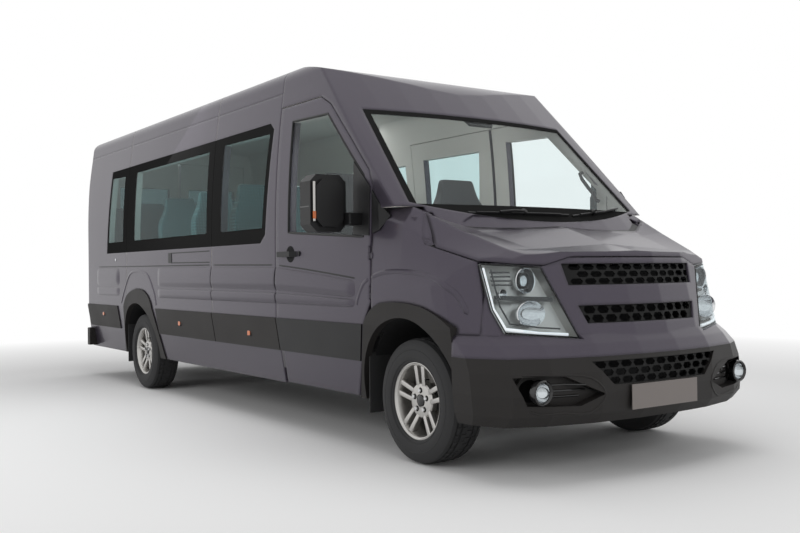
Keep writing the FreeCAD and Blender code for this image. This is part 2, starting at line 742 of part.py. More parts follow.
# Front doors, for the right side, then mirrored
door_solid = common("door_solid", shell, across("door_zone", door_outline(zero), None, -reach, 0.0))
window_points = [
    (door_back + 186, 1362),
    (mm.door_front_x - 80, 1303),
    (mm.door_front_x - 80, 1660),
    (mm.door_front_x - 235, 1800),
    (mm.door_front_x - 550, 2098),
    (door_back + 186, 2112),
]
door_window = across("door_window", window_points, None, -reach, 0.0)
edge_relief = common("edge_relief", body_deep_glass, box("relief_zone", (door_back - 10, door_back + 28),
                                                         (-reach, 0.0), (0.0, 3000.0)))
door_right = fuse("door_right_shell", cut("door_panel", door_solid, door_window, edge_relief, *door_notches),
                  door_moving)
part("door_right", door_right)
part("door_left", mirrored("door_left_shell", door_right))
door_glass = common("door_right_pane", door_pane_layer,
                    across("door_pane_zone", grown(window_points, -seat, (1700, 1700)), None, -reach, 0.0))
part("door_right_glass", door_glass)
part("door_left_glass", mirrored("door_left_pane", door_glass))

# Mouldings, handle and mirror carried by a front door
moulding_low, moulding_high = mm.moulding_bottom, mm.moulding_top
door_strip = common("door_strip", trim_layer, across("door_strip_zone", [
    (door_back + 3, moulding_low),
    (mm.door_front_x - 165, moulding_low),
    (mm.door_front_x - 92, moulding_high),
    (door_back + 3, moulding_high),
], None, -reach, 0.0))
skin_y = -half_side - seat
handle = prism("door_handle", [
    (door_back + 62, skin_y),
    (door_back + 96, skin_y),
    (door_back + 110, skin_y - 22),
    (door_back + 250, skin_y - 22),
    (door_back + 264, skin_y),
    (door_back + 298, skin_y),
    (door_back + 270, skin_y - 42),
    (door_back + 90, skin_y - 42),
], "XY", 1192, 1228)
mirror_x = mm.door_front_x - 215
mirror_out, mirror_in = -half_side - 315, -half_side - 70
housing = along("mirror_housing", rounded((mirror_out, mirror_in), (1325, 1665), 42), mirror_x - 60, mirror_x + 62)
housing_front = along("mirror_nose", rounded((mirror_out + 30, mirror_in - 30), (1355, 1635), 42), mirror_x + 60,
                      mirror_x + 84)
arm = cut("mirror_arm", prism("mirror_arm_solid", [
    (mirror_x - 30, -half_side - 110),
    (mirror_x + 40, -half_side - 110),
    (mirror_x + 128, -half_side + 20),
    (mirror_x + 20, -half_side + 20),
], "XY", 1372, 1432), body_glass)
door_trim = doc.addObject("Part::Compound", "door_right_trim_set")
door_trim.Links = [door_strip, handle, fuse("mirror", housing, housing_front, arm)]
part("door_right_trim", door_trim)
part("door_left_trim", mirrored("door_left_trim_set", door_trim))

# Rear doors
def rear_door(name, sign, inner_edge, outer_edge, grow_low, layer):
    low, high = sorted((sign * inner_edge, sign * outer_edge), key=float)
    zone = box(name + "_zone", (rear_end - 100, rear_skin + 170), (low, high),
               (mm.rear_door_bottom + grow_low, mm.gutter_height - 3 - gap - grow_low))
    return common(name, layer, zone)


for side, sign in (("right", -1), ("left", 1)):
    leaf = rear_door(f"rear_leaf_{side}", sign, gap / 2, mm.rear_door_half, zero, shell)
    hole = box(f"rear_hole_{side}", (rear_end - 100, rear_skin + 300),
               sorted((sign * 115.0, sign * (mm.rear_door_half - 120)), key=float), (1345.0, 2050.0))
    relief = prism(f"rear_relief_{side}", [
        (rear_skin + 12, sign * (gap / 2 - 6)),
        (rear_skin + 200, sign * (gap / 2 - 6)),
        (rear_skin + 200, sign * (gap / 2 + 14)),
        (rear_skin + mm.wall, sign * (gap / 2 + 14)),
    ], "XY", 0.0, 3000.0)
    hinge_half = rear_moving if sign < 0 else mirrored("rear_moving_twin", rear_moving)
    part(f"rear_door_{side}", fuse(f"rear_door_{side}_shell", cut(f"rear_door_cut_{side}", leaf, hole, relief),
                                   hinge_half))
    pane = box(f"rear_pane_zone_{side}", (rear_end - 100, rear_skin + 300),
               sorted((sign * (115 + seat), sign * (mm.rear_door_half - 120 - seat)), key=float),
               (1345 + seat, 2050 - seat))
    part(f"rear_door_{side}_glass", common(f"rear_pane_{side}", door_pane_layer, pane))

part("tail_lamps", common("tail_lamp_set", cut("tail_layer", body_outer, body_form("tail_inner", 40)),
                          tail_lamp_block("tail_block", zero)))

# Nose: wings, bonnet, nose panel
seam_points = [
    (mm.door_front_x + 290, mm.wing_top + 5),
    (mm.door_front_x + 480, 1240),
    (front_end - 464, 1137),
    (front_end - 280, 1112),
    (front_end - 243, 1156),
    (front_end + 90, 1160),
]
bonnet_rear = [(mm.door_front_x + 150, 1700), (mm.door_front_x + 150, mm.wing_top + 5)]
bonnet_ahead = [(front_end + 90, 1700)]
seam_head = (mm.door_front_x + 350, mm.wing_top + 5)
bonnet_middle = common("bonnet_middle", across("bonnet_whole", bonnet_rear + seam_points + bonnet_ahead),
                       box("bonnet_middle_zone", (wing_back, front_end + 90), (-855.0, 855.0), (1000.0, 1700.0)))
bonnet_zone = fuse("bonnet_zone", bonnet_middle,
                   across("bonnet_sides", bonnet_rear + [seam_head] + seam_points[1:] + bonnet_ahead))
hinge_x, hinge_z = mm.bonnet_hinge_x, mm.bonnet_hinge_z
bonnet_arm = cut("bonnet_arm", across("bonnet_arm_solid", [
    (hinge_x - 8, hinge_z - 6),
    (hinge_x + 88, hinge_z - 18),
    (hinge_x + 88, hinge_z - 7),
    (hinge_x + 45, hinge_z + 6),
    (hinge_x - 8, hinge_z + 6),
], None, -851.0, -835.0), rod("bonnet_arm_bore", mm.bonnet_hinge_pin + mm.running, (hinge_x, -880, hinge_z), "y", 60))
bonnet_panel = cut("bonnet_panel", common("bonnet_common", nose_shell, bonnet_zone), screen_ahead)
part("bonnet", fuse("bonnet_hinged", bonnet_panel, both("bonnet_arms", bonnet_arm)))
lowered = [(x, z - gap) for x, z in seam_points]
wing_points = [
    (wing_back + 9, mm.wing_top),
    (wing_back, mm.waist_height),
    (wing_back, 250),
    (front_end - 415, 250),
    (front_end - 415, 895),
    (front_end - 466, 1131),
] + [lowered[2], lowered[1], (seam_head[0] - 6, mm.wing_top)]
def lamp_outline(grow):
    return grown([
        (-914, 1126),
        (-898, 881),
        (-862, 756),
        (-489, 724),
        (-632, 1104),
    ], grow, (-750, 930))


lamp_hole = both("lamp_holes", along("lamp_hole", lamp_outline(seat), 2900, front_end + 50))
wing_side = common("wing_half", nose_shell, across("wing_cut", wing_points, None, -reach, -860.0))
wing_panel = cut("wing_panel", wing_side, flare_cut["front"], bumper_outer, lamp_hole)
hinge_block = box("bonnet_hinge_block", (hinge_x - 34, hinge_x + 7), (-966, -894), (hinge_z - 12, hinge_z + 7))
hinge_rod = rod("bonnet_hinge_pin", mm.bonnet_hinge_pin, (hinge_x, -896, hinge_z), "y", 63)
wing = fuse("wing_right", wing_panel, door_fixed, hinge_block, hinge_rod)
part("wings", both("wings_both", wing))


upper_mesh = [(-520, 1118), (-500, 1004), (500, 1004), (520, 1118)]
lower_mesh = [(-468, 896), (-432, 802), (432, 802), (468, 896)]
mouth_mesh = [(-500, 612), (-368, 488), (368, 488), (500, 612)]
mesh_holes = [along(f"mesh_hole_{i}", grown(points, seat, (0, mid)), 3100, front_end + 50)
              for i, (points, mid) in enumerate(((upper_mesh, 1060), (lower_mesh, 850)))]
panel_zone = across("panel_zone", [
    (front_end - 415 + seat, mm.paint_line),
    (front_end + 60, mm.paint_line),
    (front_end + 60, 1154),
    (front_end - 243, 1150),
    (front_end - 280, 1106),
    (front_end - 415 + seat, 1125),
])
upper_panel = cut("upper_panel", common("panel_common", nose_shell, panel_zone), lamp_hole, *mesh_holes)
strip_zone = box("strip_zone", (front_end - 560, front_end + 50), (-reach, reach), (mm.paint_line, 760.0))
strip = cut("paint_strip", common("strip_common", bumper_shell, strip_zone), nose_inner, flare_cut["front"])
part("nose_panel", cut("nose_panel_cut", fuse("nose_panel_fused", upper_panel, strip), lamp_hole))

mouth_hole = along("mouth_hole", grown(mouth_mesh, seat, (0, 550)), 3200, front_end + 50)
fog_points = [(-925, 545), (-862, 402), (-578, 391), (-430, 445), (-680, 552)]
fog_y, fog_z = -800, 470
fog_hole = both("fog_holes", rod("fog_hole", 58, (3000, fog_y, fog_z), "x", 600))
pocket_room = both("pocket_room", along("fog_pocket", fog_points, 3000, front_end + 50))
pocket_block = common("pocket_block", cut("pocket_layer", bumper_form("pocket_front", 8), bumper_form("pocket_back",
                                                                                                   62)),
                      both("pocket_wall", along("fog_pocket_wall", grown(fog_points, 9, (-680, 470)), 3000,
                                                front_end + 50)))
pocket_hollow = common("pocket_hollow", cut("pocket_air", bumper_form("pocket_open", -5), bumper_form("pocket_floor", 52)),
                       pocket_room)
lower_zone = box("lower_zone", (front_end - 535, front_end + 50), (-reach, reach), (0.0, mm.paint_line - seat))
part("front_bumper", cut("bumper_black", common("bumper_lower", fuse("bumper_pockets", bumper_shell, pocket_block),
                                                lower_zone), pocket_hollow, mouth_hole, fog_hole, flare_cut["front"]))

# Lamps
lens_layer = cut("lens_layer", nose_outer, nose_form("lens_inner", mm.lens))
bowl_layer = cut("bowl_layer", nose_form("bowl_outer", mm.nose_sheet + seat), nose_form("bowl_inner", 110))
lamp_solid = both("lamp_solids", along("lamp_solid", lamp_outline(zero), 2900, front_end + 50))
lamp_back = both("lamp_backs", along("lamp_back", lamp_outline(8), 2900, front_end + 50))
part("lamp_lenses", common("lenses", lens_layer, lamp_solid))
part("lamp_housings", common("housings", bowl_layer, lamp_back))
fog_front = front_end - 165
fog_lamp = rod("fog_lamp", 58 - seat, (fog_front, fog_y, fog_z), "x", 55)
part("fog_lamps", both("fog_both", fog_lamp))

# Grille meshes with long hexagons
def hexagons(name, points, rows, pitch, flat, start):
    cells = []
    (left, _), (right, _) = points[0], points[-1]
    high = max(v for _, v in points)
    low = min(v for _, v in points)
    step = (high - low) / rows
    half, rise = pitch / 2 - flat, step / 2 - flat * 0.7
    for row in range(rows):
        z = low + step * (row + 0.5)
        count = int((right - left) / pitch) - 1
        for i in range(-count // 2, count // 2 + 1):
            y = (i + (0.5 if row % 2 else 0)) * pitch
            corners = [(-half, 0), (-half * 0.62, rise), (half * 0.62, rise), (half, 0),
                       (half * 0.62, -rise), (-half * 0.62, -rise)]
            wire = Part.makePolygon([Vector(start, y + a, z + b) for a, b in corners + corners[:1]])
            cells.append(Part.Face(wire).extrude(Vector(600, 0, 0)))
    return feature(name, Part.Compound(cells))


mesh_layer = cut("mesh_layer", nose_form("mesh_outer", 10), nose_form("mesh_inner", 20))
mouth_layer = cut("mouth_layer", bumper_form("mouth_outer", 12), bumper_form("mouth_inner", 22))
meshes = []
for index, (points, layer, rows) in enumerate(((upper_mesh, mesh_layer, 3), (lower_mesh, mesh_layer, 2),
                                               (mouth_mesh, mouth_layer, 3))):
    zone = along(f"mesh_zone_{index}", points, 3100, front_end + 50)
    sheet_of = common(f"mesh_sheet_{index}", layer, zone)
    meshes.append(cut(f"mesh_{index}", sheet_of, hexagons(f"hexagons_{index}", points, rows, 88, 5, 3050)))
grille = doc.addObject("Part::Compound", "grille_set")
grille.Links = meshes
part("grille", grille)

# Scuttle with its wipers
scuttle_zone = box("scuttle_zone", (mm.door_front_x + 60, front_end - 700), (-825.0, 825.0), (1330.0, 1500.0))
scuttle = cut("scuttle_cut", common("scuttle_common", nose_form("scuttle_top", 12), scuttle_zone,
                                    screen_prism("scuttle_front", 36)), screen_here)
part("scuttle", scuttle)

# Mouldings and flares on the body
def side_strip(name, start, end, end_low=None):
    points = [(start, moulding_low), (end if end_low is None else end_low, moulding_low),
              (end, moulding_high), (start, moulding_high)]
    return common(name, trim_layer, across(name + "_zone", points, None, -reach, 0.0))


flares = []
flare_layer = cut("flare_layer", body_proud, body_form("flare_inner", 40))
for place, (x, radius) in wheel_wells.items():
    front = place == "front"
    zone = across(place + "_flare_zone", flare_outline(front, zero), front_flare_arcs if front else rear_flare_arcs,
                  -reach, 0.0)
    clipped = common(place + "_flare_solid", flare_layer, zone)
    wheel_hole = opening(place + "_flare_hole", x, radius, -reach, -mm.wheelhouse_half)
    below = box(place + "_below", (x - radius, x + radius), (-reach, 0.0), (0.0, axle_height))
    flares.append(cut(place + "_flare", clipped, wheel_hole, below))
strip_ends = {
    "middle": (mm.slide_rear_x + gap, wall_front - 3),
    "side": (rear_arch_x + 520, mm.slide_rear_x - gap),
    "rear": (rear_skin + 75, rear_arch_x - 540),
}
strips = [cut(f"strip_{name}_clear", side_strip(f"strip_{name}", *ends), flare_cut["rear"])
          for name, ends in strip_ends.items()]
mouldings = doc.addObject("Part::Compound", "mouldings_right")
mouldings.Links = flares + strips
part("side_mouldings", both("mouldings", mouldings))

# Rear bumper
rear_bumper = prism("rear_bumper_solid", [
    (rear_end, -mm.rear_door_half - 40),
    (rear_end + 40, -half_side + 43),
    (rear_end + 110, -half_side - 10),
    (rear_end + 190, -half_side - 10),
    (rear_end + 190, half_side + 10),
    (rear_end + 110, half_side + 10),
    (rear_end + 40, half_side - 43),
    (rear_end, mm.rear_door_half + 40),
], "XY", 330, 512)
part("rear_bumper", cut("rear_bumper_cut", rear_bumper, body_outer))

# Underbody, parted at its welds into wheelhouses, sills, bulkhead and floor
floor = box("floor_plate", (rear_skin + mm.wall + 40, wing_back + 60), (-half_side + mm.wall + seat,
            half_side - mm.wall - seat), (floor_bottom, mm.floor_top))
bulkhead = box("bulkhead", (wing_back + 60 - seat, wing_back + 90), (-860.0, 860.0), (floor_bottom, 1290.0))
housings, wells = [], []
for place, (x, radius) in wheel_wells.items():
    outer_drum = rod(place + "_drum", radius + 8, (x, -half_side + 42, axle_height), "y",
                     half_side - 42 - mm.wheelhouse_half + 8)
    well = opening(place + "_well", x, radius, -reach, -mm.wheelhouse_half)
    under = box(place + "_under", (x - radius - 20, x + radius + 20), (-reach, 0.0), (-300.0, 330.0))
    inboard = box(place + "_inboard", (x - radius + 12, x + radius - 12), (-mm.wheelhouse_half - 5, 0.0),
                  (0.0, 600.0))
    housings.append(cut(place + "_housing_cut", outer_drum, well, under, inboard))
    wells.append(both(place + "_wells", opening(place + "_well_big", x, radius, -reach, -mm.wheelhouse_half)))
housing_room_inside = body_form("housing_limit", 41)
housing_pair = both("housing_pair", common("housing_common", fuse("housing_set", *housings), housing_room_inside,
                                           box("housing_front_limit", (rear_end, front_end - 543), (-reach, 0.0),
                                               (0.0, 1000.0))))
sill = both("sills", box("sill_box", (rear_arch_x + 480, wing_back - 280), (-half_side + mm.wall + seat,
            -half_side + mm.wall + 110), (mm.sill_bottom + 15, floor_bottom)))
floor_inside = common("floor_inside", fuse("floor_set", floor, bulkhead, sill), body_form("floor_room", mm.wall + seat))
door_room = common("door_room", cut("door_room_shell", body_outer, body_form("door_room_inner", mm.wall + 12)),
                   box("door_room_zone", (wall_front - 4, wing_back + 20), (-reach, reach), (0.0, 1000.0)))
underbody = cut("underbody", fuse("floor_all", floor_inside, housing_pair), door_room, *wells)
wheelhouse_room = [both(place + "_room", box(place + "_room_half", (x - radius - 8, x + radius + 8),
                                             (-reach, 8 - mm.wheelhouse_half), (0.0, 1000.0)))
                   for place, (x, radius) in wheel_wells.items()]
sill_room = box("sill_room", (rear_end, wing_back + 60 - seat), (-reach, reach), (0.0, floor_bottom))
bulkhead_room = box("bulkhead_room", (wing_back + 60 - seat, front_end), (-reach, reach), (0.0, 1400.0))
part("wheelhouses", common("wheelhouse_set", underbody, fuse("wheelhouse_rooms", *wheelhouse_room)))
part("sills", cut("sill_pair", common("sill_set", underbody, sill_room), *wheelhouse_room))
part("bulkhead", cut("bulkhead_cut", common("bulkhead_set", underbody, bulkhead_room), *wheelhouse_room))
part("floor_pan", cut("floor_plate_cut", underbody, sill_room, bulkhead_room, *wheelhouse_room))

# Chassis rails and cross members
rail_top, rail_low = mm.frame_top, mm.frame_top - mm.rail_height
rail_points = [
    (-mm.rail_half, rail_low),
    (-mm.rail_half + mm.rail_width, rail_low),
    (-mm.rail_half + mm.rail_width, rail_low + mm.rail_sheet),
    (-mm.rail_half + mm.rail_sheet, rail_low + mm.rail_sheet),
    (-mm.rail_half + mm.rail_sheet, rail_top - mm.rail_sheet),
    (-mm.rail_half + mm.rail_width, rail_top - mm.rail_sheet),
    (-mm.rail_half + mm.rail_width, rail_top),
    (-mm.rail_half, rail_top),
]
rails = both("rails", along("rail", rail_points, rear_end + 150, front_end - 190))
cross = [box(f"cross_{i}", (x, x + 70), (-mm.rail_half + 4, mm.rail_half - 4), (rail_low + 20, rail_top - 20))
         for i, x in enumerate((rear_end + 180, rear_axle - 750, rear_axle + 700, 200 + zero, front_axle - 620,
                                front_end - 280))]
mounts = [box(f"body_mount_{i}", (x, x + 90), (-mm.rail_half + 5, mm.rail_half - 5), (rail_top - 30, floor_bottom))
          for i, x in enumerate((rear_end + 300, -900 + zero, 1300 + zero))]
tow_holes = [rod(f"tow_hole_{i}", mm.tow_bolt, (rear_end + 170, y, rail_low + mm.rail_height / 2 + z), "x", 90)
             for i, (y, z) in enumerate(((-80.0, -25.0), (80.0, -25.0), (80.0, 25.0), (-80.0, 25.0)))]
part("chassis_frame", cut("frame_drilled", fuse("frame", rails, *cross, *mounts), *tow_holes))


def turned_form(name, profile, sides):
    """A ring of straight facets about the Y axis through the origin, touching its (y, radius) points."""
    rings = []
    spread = 1 / math.cos(math.pi / sides)
    for y, radius in profile:
        radius = float(radius) * spread
        corners = []
        for i in range(sides):
            angle = 2 * math.pi * (i + 0.5) / sides
            corners.append(Vector(radius * math.sin(angle), float(y), radius * math.cos(angle)))
        rings.append(corners)
    faces = [Part.Face(Part.makePolygon(ring + ring[:1])) for ring in (rings[0], rings[-1])]
    for ring, after in zip(rings, rings[1:]):
        for i in range(sides):
            j = (i + 1) % sides
            faces.append(Part.Face(Part.makePolygon([ring[i], ring[j], after[j], after[i], ring[i]])))
    skin = Part.makeShell(faces)
    skin.sewShape()
    solid = Part.Solid(skin)
    if solid.Volume < 0:
        solid.reverse()
    return feature(name, solid)


# Wheels. Each is built about the origin with its outer face towards -Y, the vehicle's right.
half_tyre, tread = mm.tyre_width / 2, axle_height
bead = mm.rim_diameter / 2
WHEEL_SIDES = 36
tyre_skin = turned_form("tyre_skin", [
    (-96, bead + 4),
    (-half_tyre, bead + 52),
    (-half_tyre + 7, tread - 40),
    (-half_tyre + 28, tread - 3),
    (-40, tread),
    (40, tread),
    (half_tyre - 28, tread - 3),
    (half_tyre - 7, tread - 40),
    (half_tyre, bead + 52),
    (96, bead + 4),
], WHEEL_SIDES)
tyre_hole = turned_form("tyre_hole", [(-half_tyre - 10, bead + 0.5), (half_tyre + 10, bead + 0.5)], WHEEL_SIDES)
tyre_solid = cut("tyre_solid", tyre_skin, tyre_hole)

rim_half, lip = float(mm.rim_width) / 2, float(bead)
rim_skin = turned_form("rim_skin", [(-rim_half, lip), (-rim_half + 12, lip), (-rim_half + 14, lip - 14),
                                    (rim_half - 14, lip - 14), (rim_half - 12, lip), (rim_half, lip)], WHEEL_SIDES)
rim_bore = turned_form("rim_bore", [(-rim_half - 1, lip - 12), (-rim_half + 24, lip - 22),
                                    (rim_half + 1, lip - 20)], WHEEL_SIDES)
barrel = cut("barrel", rim_skin, rim_bore)
hub_face = -rim_half + 22
spoke_deep = 30
hub = rod("hub", mm.hub_radius, (0.0, hub_face, 0.0), "y", 44)
hub_bore = rod("hub_bore", 24 + mm.running, (0.0, hub_face + 20, 0.0), "y", 200)
disc_y = hub_face + 58
disc_neck = rod("disc_neck", 58, (0.0, hub_face + 43, 0.0), "y", 32)
disc = rod("disc", mm.disc_radius, (0.0, disc_y, 0.0), "y", 18)
spokes = []
for pair in range(5):
    for side in (-1, 1):
        spoke = doc.addObject("Part::Box", f"spoke_{pair}_{'ab'[side > 0]}")
        bind(spoke, "Length", mm.spoke_width)
        bind(spoke, "Width", spoke_deep)
        bind(spoke, "Height", bead - 60)
        turn = Rotation(Vector(0, 1, 0), 72 * pair)
        offset = turn.multVec(Vector(side * 31 - float(mm.spoke_width) / 2, hub_face + 2, 42))
        spoke.Placement = Placement(offset, turn)
        spokes.append(spoke)
rim_solid = cut("rim_solid", fuse("rim_all", barrel, hub, disc_neck, disc, *spokes), hub_bore)


def placed(name, source, x, sign):
    """A copy of a wheel piece at its axle, turned to face outwards."""
    copy = doc.addObject("Part::Feature", name)
    doc.recompute()
    shape = source.Shape.copy()
    if sign > 0:
        shape = shape.mirror(Vector(), Vector(0, 1, 0))
    copy.Shape = shape
    bind_place(copy, x, sign * wheel_y, axle_height)
    return copy


for end, axle in (("front", front_axle), ("rear", rear_axle)):
    for side, sign in (("right", -1), ("left", 1)):
        part(f"{end}_tyre_{side}", placed(f"{end}_tyre_{side}_solid", tyre_solid, axle, sign))
        part(f"{end}_rim_{side}", placed(f"{end}_rim_{side}_solid", rim_solid, axle, sign))

# Steering knuckles, each an upright with its stub axle, steering arm and brake caliper
disc_place = -wheel_y + disc_y
upright = rod("upright", 30, (front_axle, -kingpin_y, 256 + seat), "z", 230 - seat * 2)
carrier = rod("carrier", 56, (front_axle, disc_place + 23, axle_height), "y", 24)
stub = rod("stub", 24, (front_axle, -wheel_y + hub_face + 24, axle_height), "y", 130)
neck = rod("neck", 36, (front_axle, disc_place + 40, axle_height), "y", 60)
steering_arm = box("steering_arm", (front_axle - 150, front_axle - 20), (-kingpin_y + 8, -kingpin_y + 34), (326, 350))
caliper = box("caliper", (front_axle + 88, front_axle + 158), (disc_place - 16, disc_place + 56), (304, 404))
caliper_slot = box("caliper_slot", (front_axle + 40, front_axle + 152.5), (disc_place - 6, disc_place + 24), (290, 420))
caliper_arm = box("caliper_arm", (front_axle + 20, front_axle + 100), (disc_place + 30, disc_place + 46), (330, 378))
knuckle = fuse("knuckle_all", upright, carrier, stub, neck, steering_arm,
               cut("caliper_cut", caliper, caliper_slot), caliper_arm)
part("knuckle_right", knuckle)
part("knuckle_left", mirrored("knuckle_left_solid", knuckle))

# Front suspension: cross member, arms and dampers
def arm_plate(name, low, high, notch):
    tip_y = -kingpin_y - 27
    points = [
        (front_axle - 130, -mm.rail_half - seat),
        (front_axle - 34, tip_y),
        (front_axle + 34, tip_y),
        (front_axle + 130, -mm.rail_half - seat),
    ]
    if notch:
        points += [(front_axle + 70, -mm.rail_half - seat), (front_axle, -kingpin_y + 70),
                   (front_axle - 70, -mm.rail_half - seat)]
    return prism(name, points, "XY", low, high)


member = box("member", (front_axle - 60, front_axle + 60), (-mm.rail_half + 60, mm.rail_half - 60),
             (300.0, rail_low - seat))
member_ends = both("member_ends", box("member_end", (front_axle - 130, front_axle + 130),
                                      (-mm.rail_half - seat, -mm.rail_half + 62), (228.0, rail_low - seat)))
lower_arms = both("lower_arms", arm_plate("lower_arm", 232, 256, False))
upper_arms = both("upper_arms", arm_plate("upper_arm", 486, 506, True))
dampers = both("dampers", rod("damper", 25, (front_axle, -mm.rail_half - 30, 250), "z", 372))
towers = both("towers", box("tower", (front_axle - 45, front_axle + 45), (-mm.rail_half - 62, -mm.rail_half + 40),
                            (rail_top + seat, floor_bottom - seat)))
arm_posts = [both(f"arm_posts_{i}", box(f"arm_post_{i}", (x - 24, x + 24), (-mm.rail_half - 16, -mm.rail_half - seat),
                                        (232, 506)))
             for i, x in enumerate((front_axle - 104, front_axle + 104))]
part("front_suspension", fuse("front_suspension_all", member, member_ends, lower_arms, upper_arms, dampers, towers,
                              *arm_posts))

# Rear axle on leaf springs
spring_y = (-mm.rail_half - 62, -mm.rail_half - 8)
beam = rod("beam", 44, (rear_axle, disc_place + 23, axle_height), "y", -(disc_place + 23) * 2)
axle_ends = both("axle_ends", rod("axle_end", 24, (rear_axle, -wheel_y + hub_face + 24, axle_height), "y", 80))
final_drive = rod("final_drive", 128, (rear_axle, -85, axle_height), "y", 190)
drive_nose = rod("drive_nose", 60, (rear_axle + 90, 0.0, axle_height), "x", 150)
spring = prism("spring", [
    (rear_axle - 640, 470),
    (rear_axle - 640, 448),
    (rear_axle, axle_height + 40),
    (rear_axle + 640, 448),
    (rear_axle + 640, 470),
    (rear_axle, axle_height + 82),
], "XZ", spring_y[0], spring_y[1], {1: 4600, 2: 4600, 4: -4600, 5: -4600})
hangers = [box(f"hanger_{i}", (x - 35, x + 35), (spring_y[0], -mm.rail_half - seat), (458.0, 536.0))
           for i, x in enumerate((rear_axle - 620, rear_axle + 620))]
springs = both("springs", fuse("spring_set", spring, *hangers))
part("rear_axle", fuse("rear_axle_all", beam, axle_ends, final_drive, drive_nose, springs))

# Running gear under the floor
block = box("engine_block", (front_axle - 130, front_axle - 130 + mm.engine_length),
            (-mm.engine_width / 2, mm.engine_width / 2), (rail_top - 75, rail_top - 75 + mm.engine_height))
engine_arm = both("engine_arms", box("engine_arm", (front_axle + 200, front_axle + 280),
                  (-mm.rail_half + mm.rail_sheet + 12, -mm.engine_width / 2 + 5),
                  (rail_low + mm.rail_sheet + seat, rail_low + 84)))
part("engine", fuse("engine_all", block, engine_arm))
muffler = rod("muffler", 92, (-620.0, -640.0, 452.0), "x", 640)
front_pipe = rod("front_pipe", 27, (10.0, -640.0, 452.0), "x", 1400)
tail_pipe = rod("tail_pipe", 27, (-1290.0, -640.0, 452.0), "x", 680)
pipe_hanger = box("pipe_hanger", (-520.0, -480.0), (-660.0, -620.0), (530.0, floor_bottom - seat))
pipe_hanger_two = box("pipe_hanger_two", (1180.0, 1220.0), (-655.0, -625.0), (470.0, floor_bottom - seat))
part("exhaust", fuse("exhaust_all", muffler, front_pipe, tail_pipe, pipe_hanger, pipe_hanger_two))
tank = along("tank", rounded((mm.rail_half + 40, half_side - mm.wall - 115), (345, floor_bottom - seat), 40), -700, 350)
part("fuel_tank", tank)

# Cabin
SQUAB_PROFILE = [(-170, 990), (250, 990), (275, 1060), (240, 1115), (-150, 1107), (-170, 1100)]
BACK_PROFILE = [(-285, 1000), (-170, 1000), (-170, 1105), (-262, 1640), (-305, 1800), (-375, 1800), (-395, 1640)]
SEAT_BASE = 990.0


def seat_at(name, x, y, width):
    """The squab and the backrest of a seat that faces forward, face to face at the squab's rear end."""
    return [prism(f"{name}_{kind}", [(x + u, v) for u, v in profile], "XZ", y - width / 2, y + width / 2)
            for kind, profile in (("squab", SQUAB_PROFILE), ("back", BACK_PROFILE))]


def seat_frame(name, x, start, end, legs):
    """A bar under the squabs with legs down to the floor. Legs are (from, to) stretches across."""
    bar = box(name + "_bar", (x - 60, x + 60), (start, end), (SEAT_BASE - 40, SEAT_BASE))
    feet = [box(f"{name}_leg_{i}", (x - 150, x + 190), leg, (mm.floor_top + seat, SEAT_BASE))
            for i, leg in enumerate(legs)]
    return fuse(name, bar, *feet)


def group(name, pieces):
    """Separate solids as one node's shape."""
    together = doc.addObject("Part::Compound", name)
    together.Links = pieces
    return together


# The window seat over the wheel housing has no leg of its own.
row_seats, row_frames = [], []
for row in range(5):
    x = 330 - row * mm.seat_pitch
    row_seats += seat_at(f"seat_{row}_window", x, -705, mm.seat_width)
    row_seats += seat_at(f"seat_{row}_aisle", x, -255, mm.seat_width)
    row_seats += seat_at(f"seat_{row}_single", x, 705, mm.seat_width)
    pair_legs = [(-110.0, -70.0), (-496.0, -456.0)] + ([(-640.0, -600.0)] if row != 3 else [])
    row_frames.append(seat_frame(f"seat_{row}_pair_frame", x, -880.0, -70.0, pair_legs))
    row_frames.append(seat_frame(f"seat_{row}_single_frame", x, 455.0, 880.0, [(455.0, 495.0)]))
part("passenger_seats", group("seats", row_seats))
part("seat_frames", group("frames", row_frames))
cab_x = 1400 + zero
cab_set = seat_at("seat_driver", cab_x, -520, 500) + seat_at("seat_mate", cab_x, 520, 500)
cab_set += [box(f"cab_plinth_{side}", (cab_x - 165, cab_x + 190), across_range, (mm.floor_top + seat, SEAT_BASE))
            for side, across_range in (("right", (-700.0, -340.0)), ("left", (340.0, 700.0)))]
part("cab_seats", group("cab_seat_set", cab_set))

dash_face = mm.door_front_x - 250
dashboard = across("dashboard_solid", [
    (dash_face, 1060),
    (dash_face + 60, 985),
    (wing_back + 60 - seat * 2, 985),
    (wing_back + 60 - seat * 2, 1294),
    (wing_back + 235, 1306),
    (wing_back + 215, 1368),
    (dash_face + 70, 1340),
    (dash_face - 20, 1270),
], None, -895.0, 895.0)
wheel_tilt = 62
column_top = (dash_face - 105, -520.0, 1262.0)
tilt = Rotation(Vector(0, 1, 0), -wheel_tilt)
column = doc.addObject("Part::Cylinder", "column")
column.Radius = 32
column.Height = 150
column.Placement = Placement(Vector(*[float(c) for c in column_top]) + tilt.multVec(Vector(0, 0, -167)), tilt)
shaft = doc.addObject("Part::Cylinder", "shaft")
shaft.Radius = 10
shaft.Height = 40
shaft.Placement = Placement(Vector(*[float(c) for c in column_top]) + tilt.multVec(Vector(0, 0, -40)), tilt)
part("dashboard", fuse("dashboard_all", dashboard, column, shaft))
ring_outer = turned_form("wheel_outer", [(-13, 182), (-7, 192), (7, 192), (13, 182)], 28)
ring_inner = turned_form("wheel_inner", [(-14, 164), (14, 164)], 28)
wheel_hub = rod("wheel_hub", 62, (0.0, -12.0, 0.0), "y", 26)
wheel_bore = rod("wheel_bore", 10 + mm.running, (0.0, -20.0, 0.0), "y", 22)
wheel_bars = [box("wheel_bar", (-168.0, 168.0), (-8.0, 8.0), (-16.0, 16.0)),
              box("wheel_leg", (-16.0, 16.0), (-8.0, 8.0), (-168.0, 0.0))]
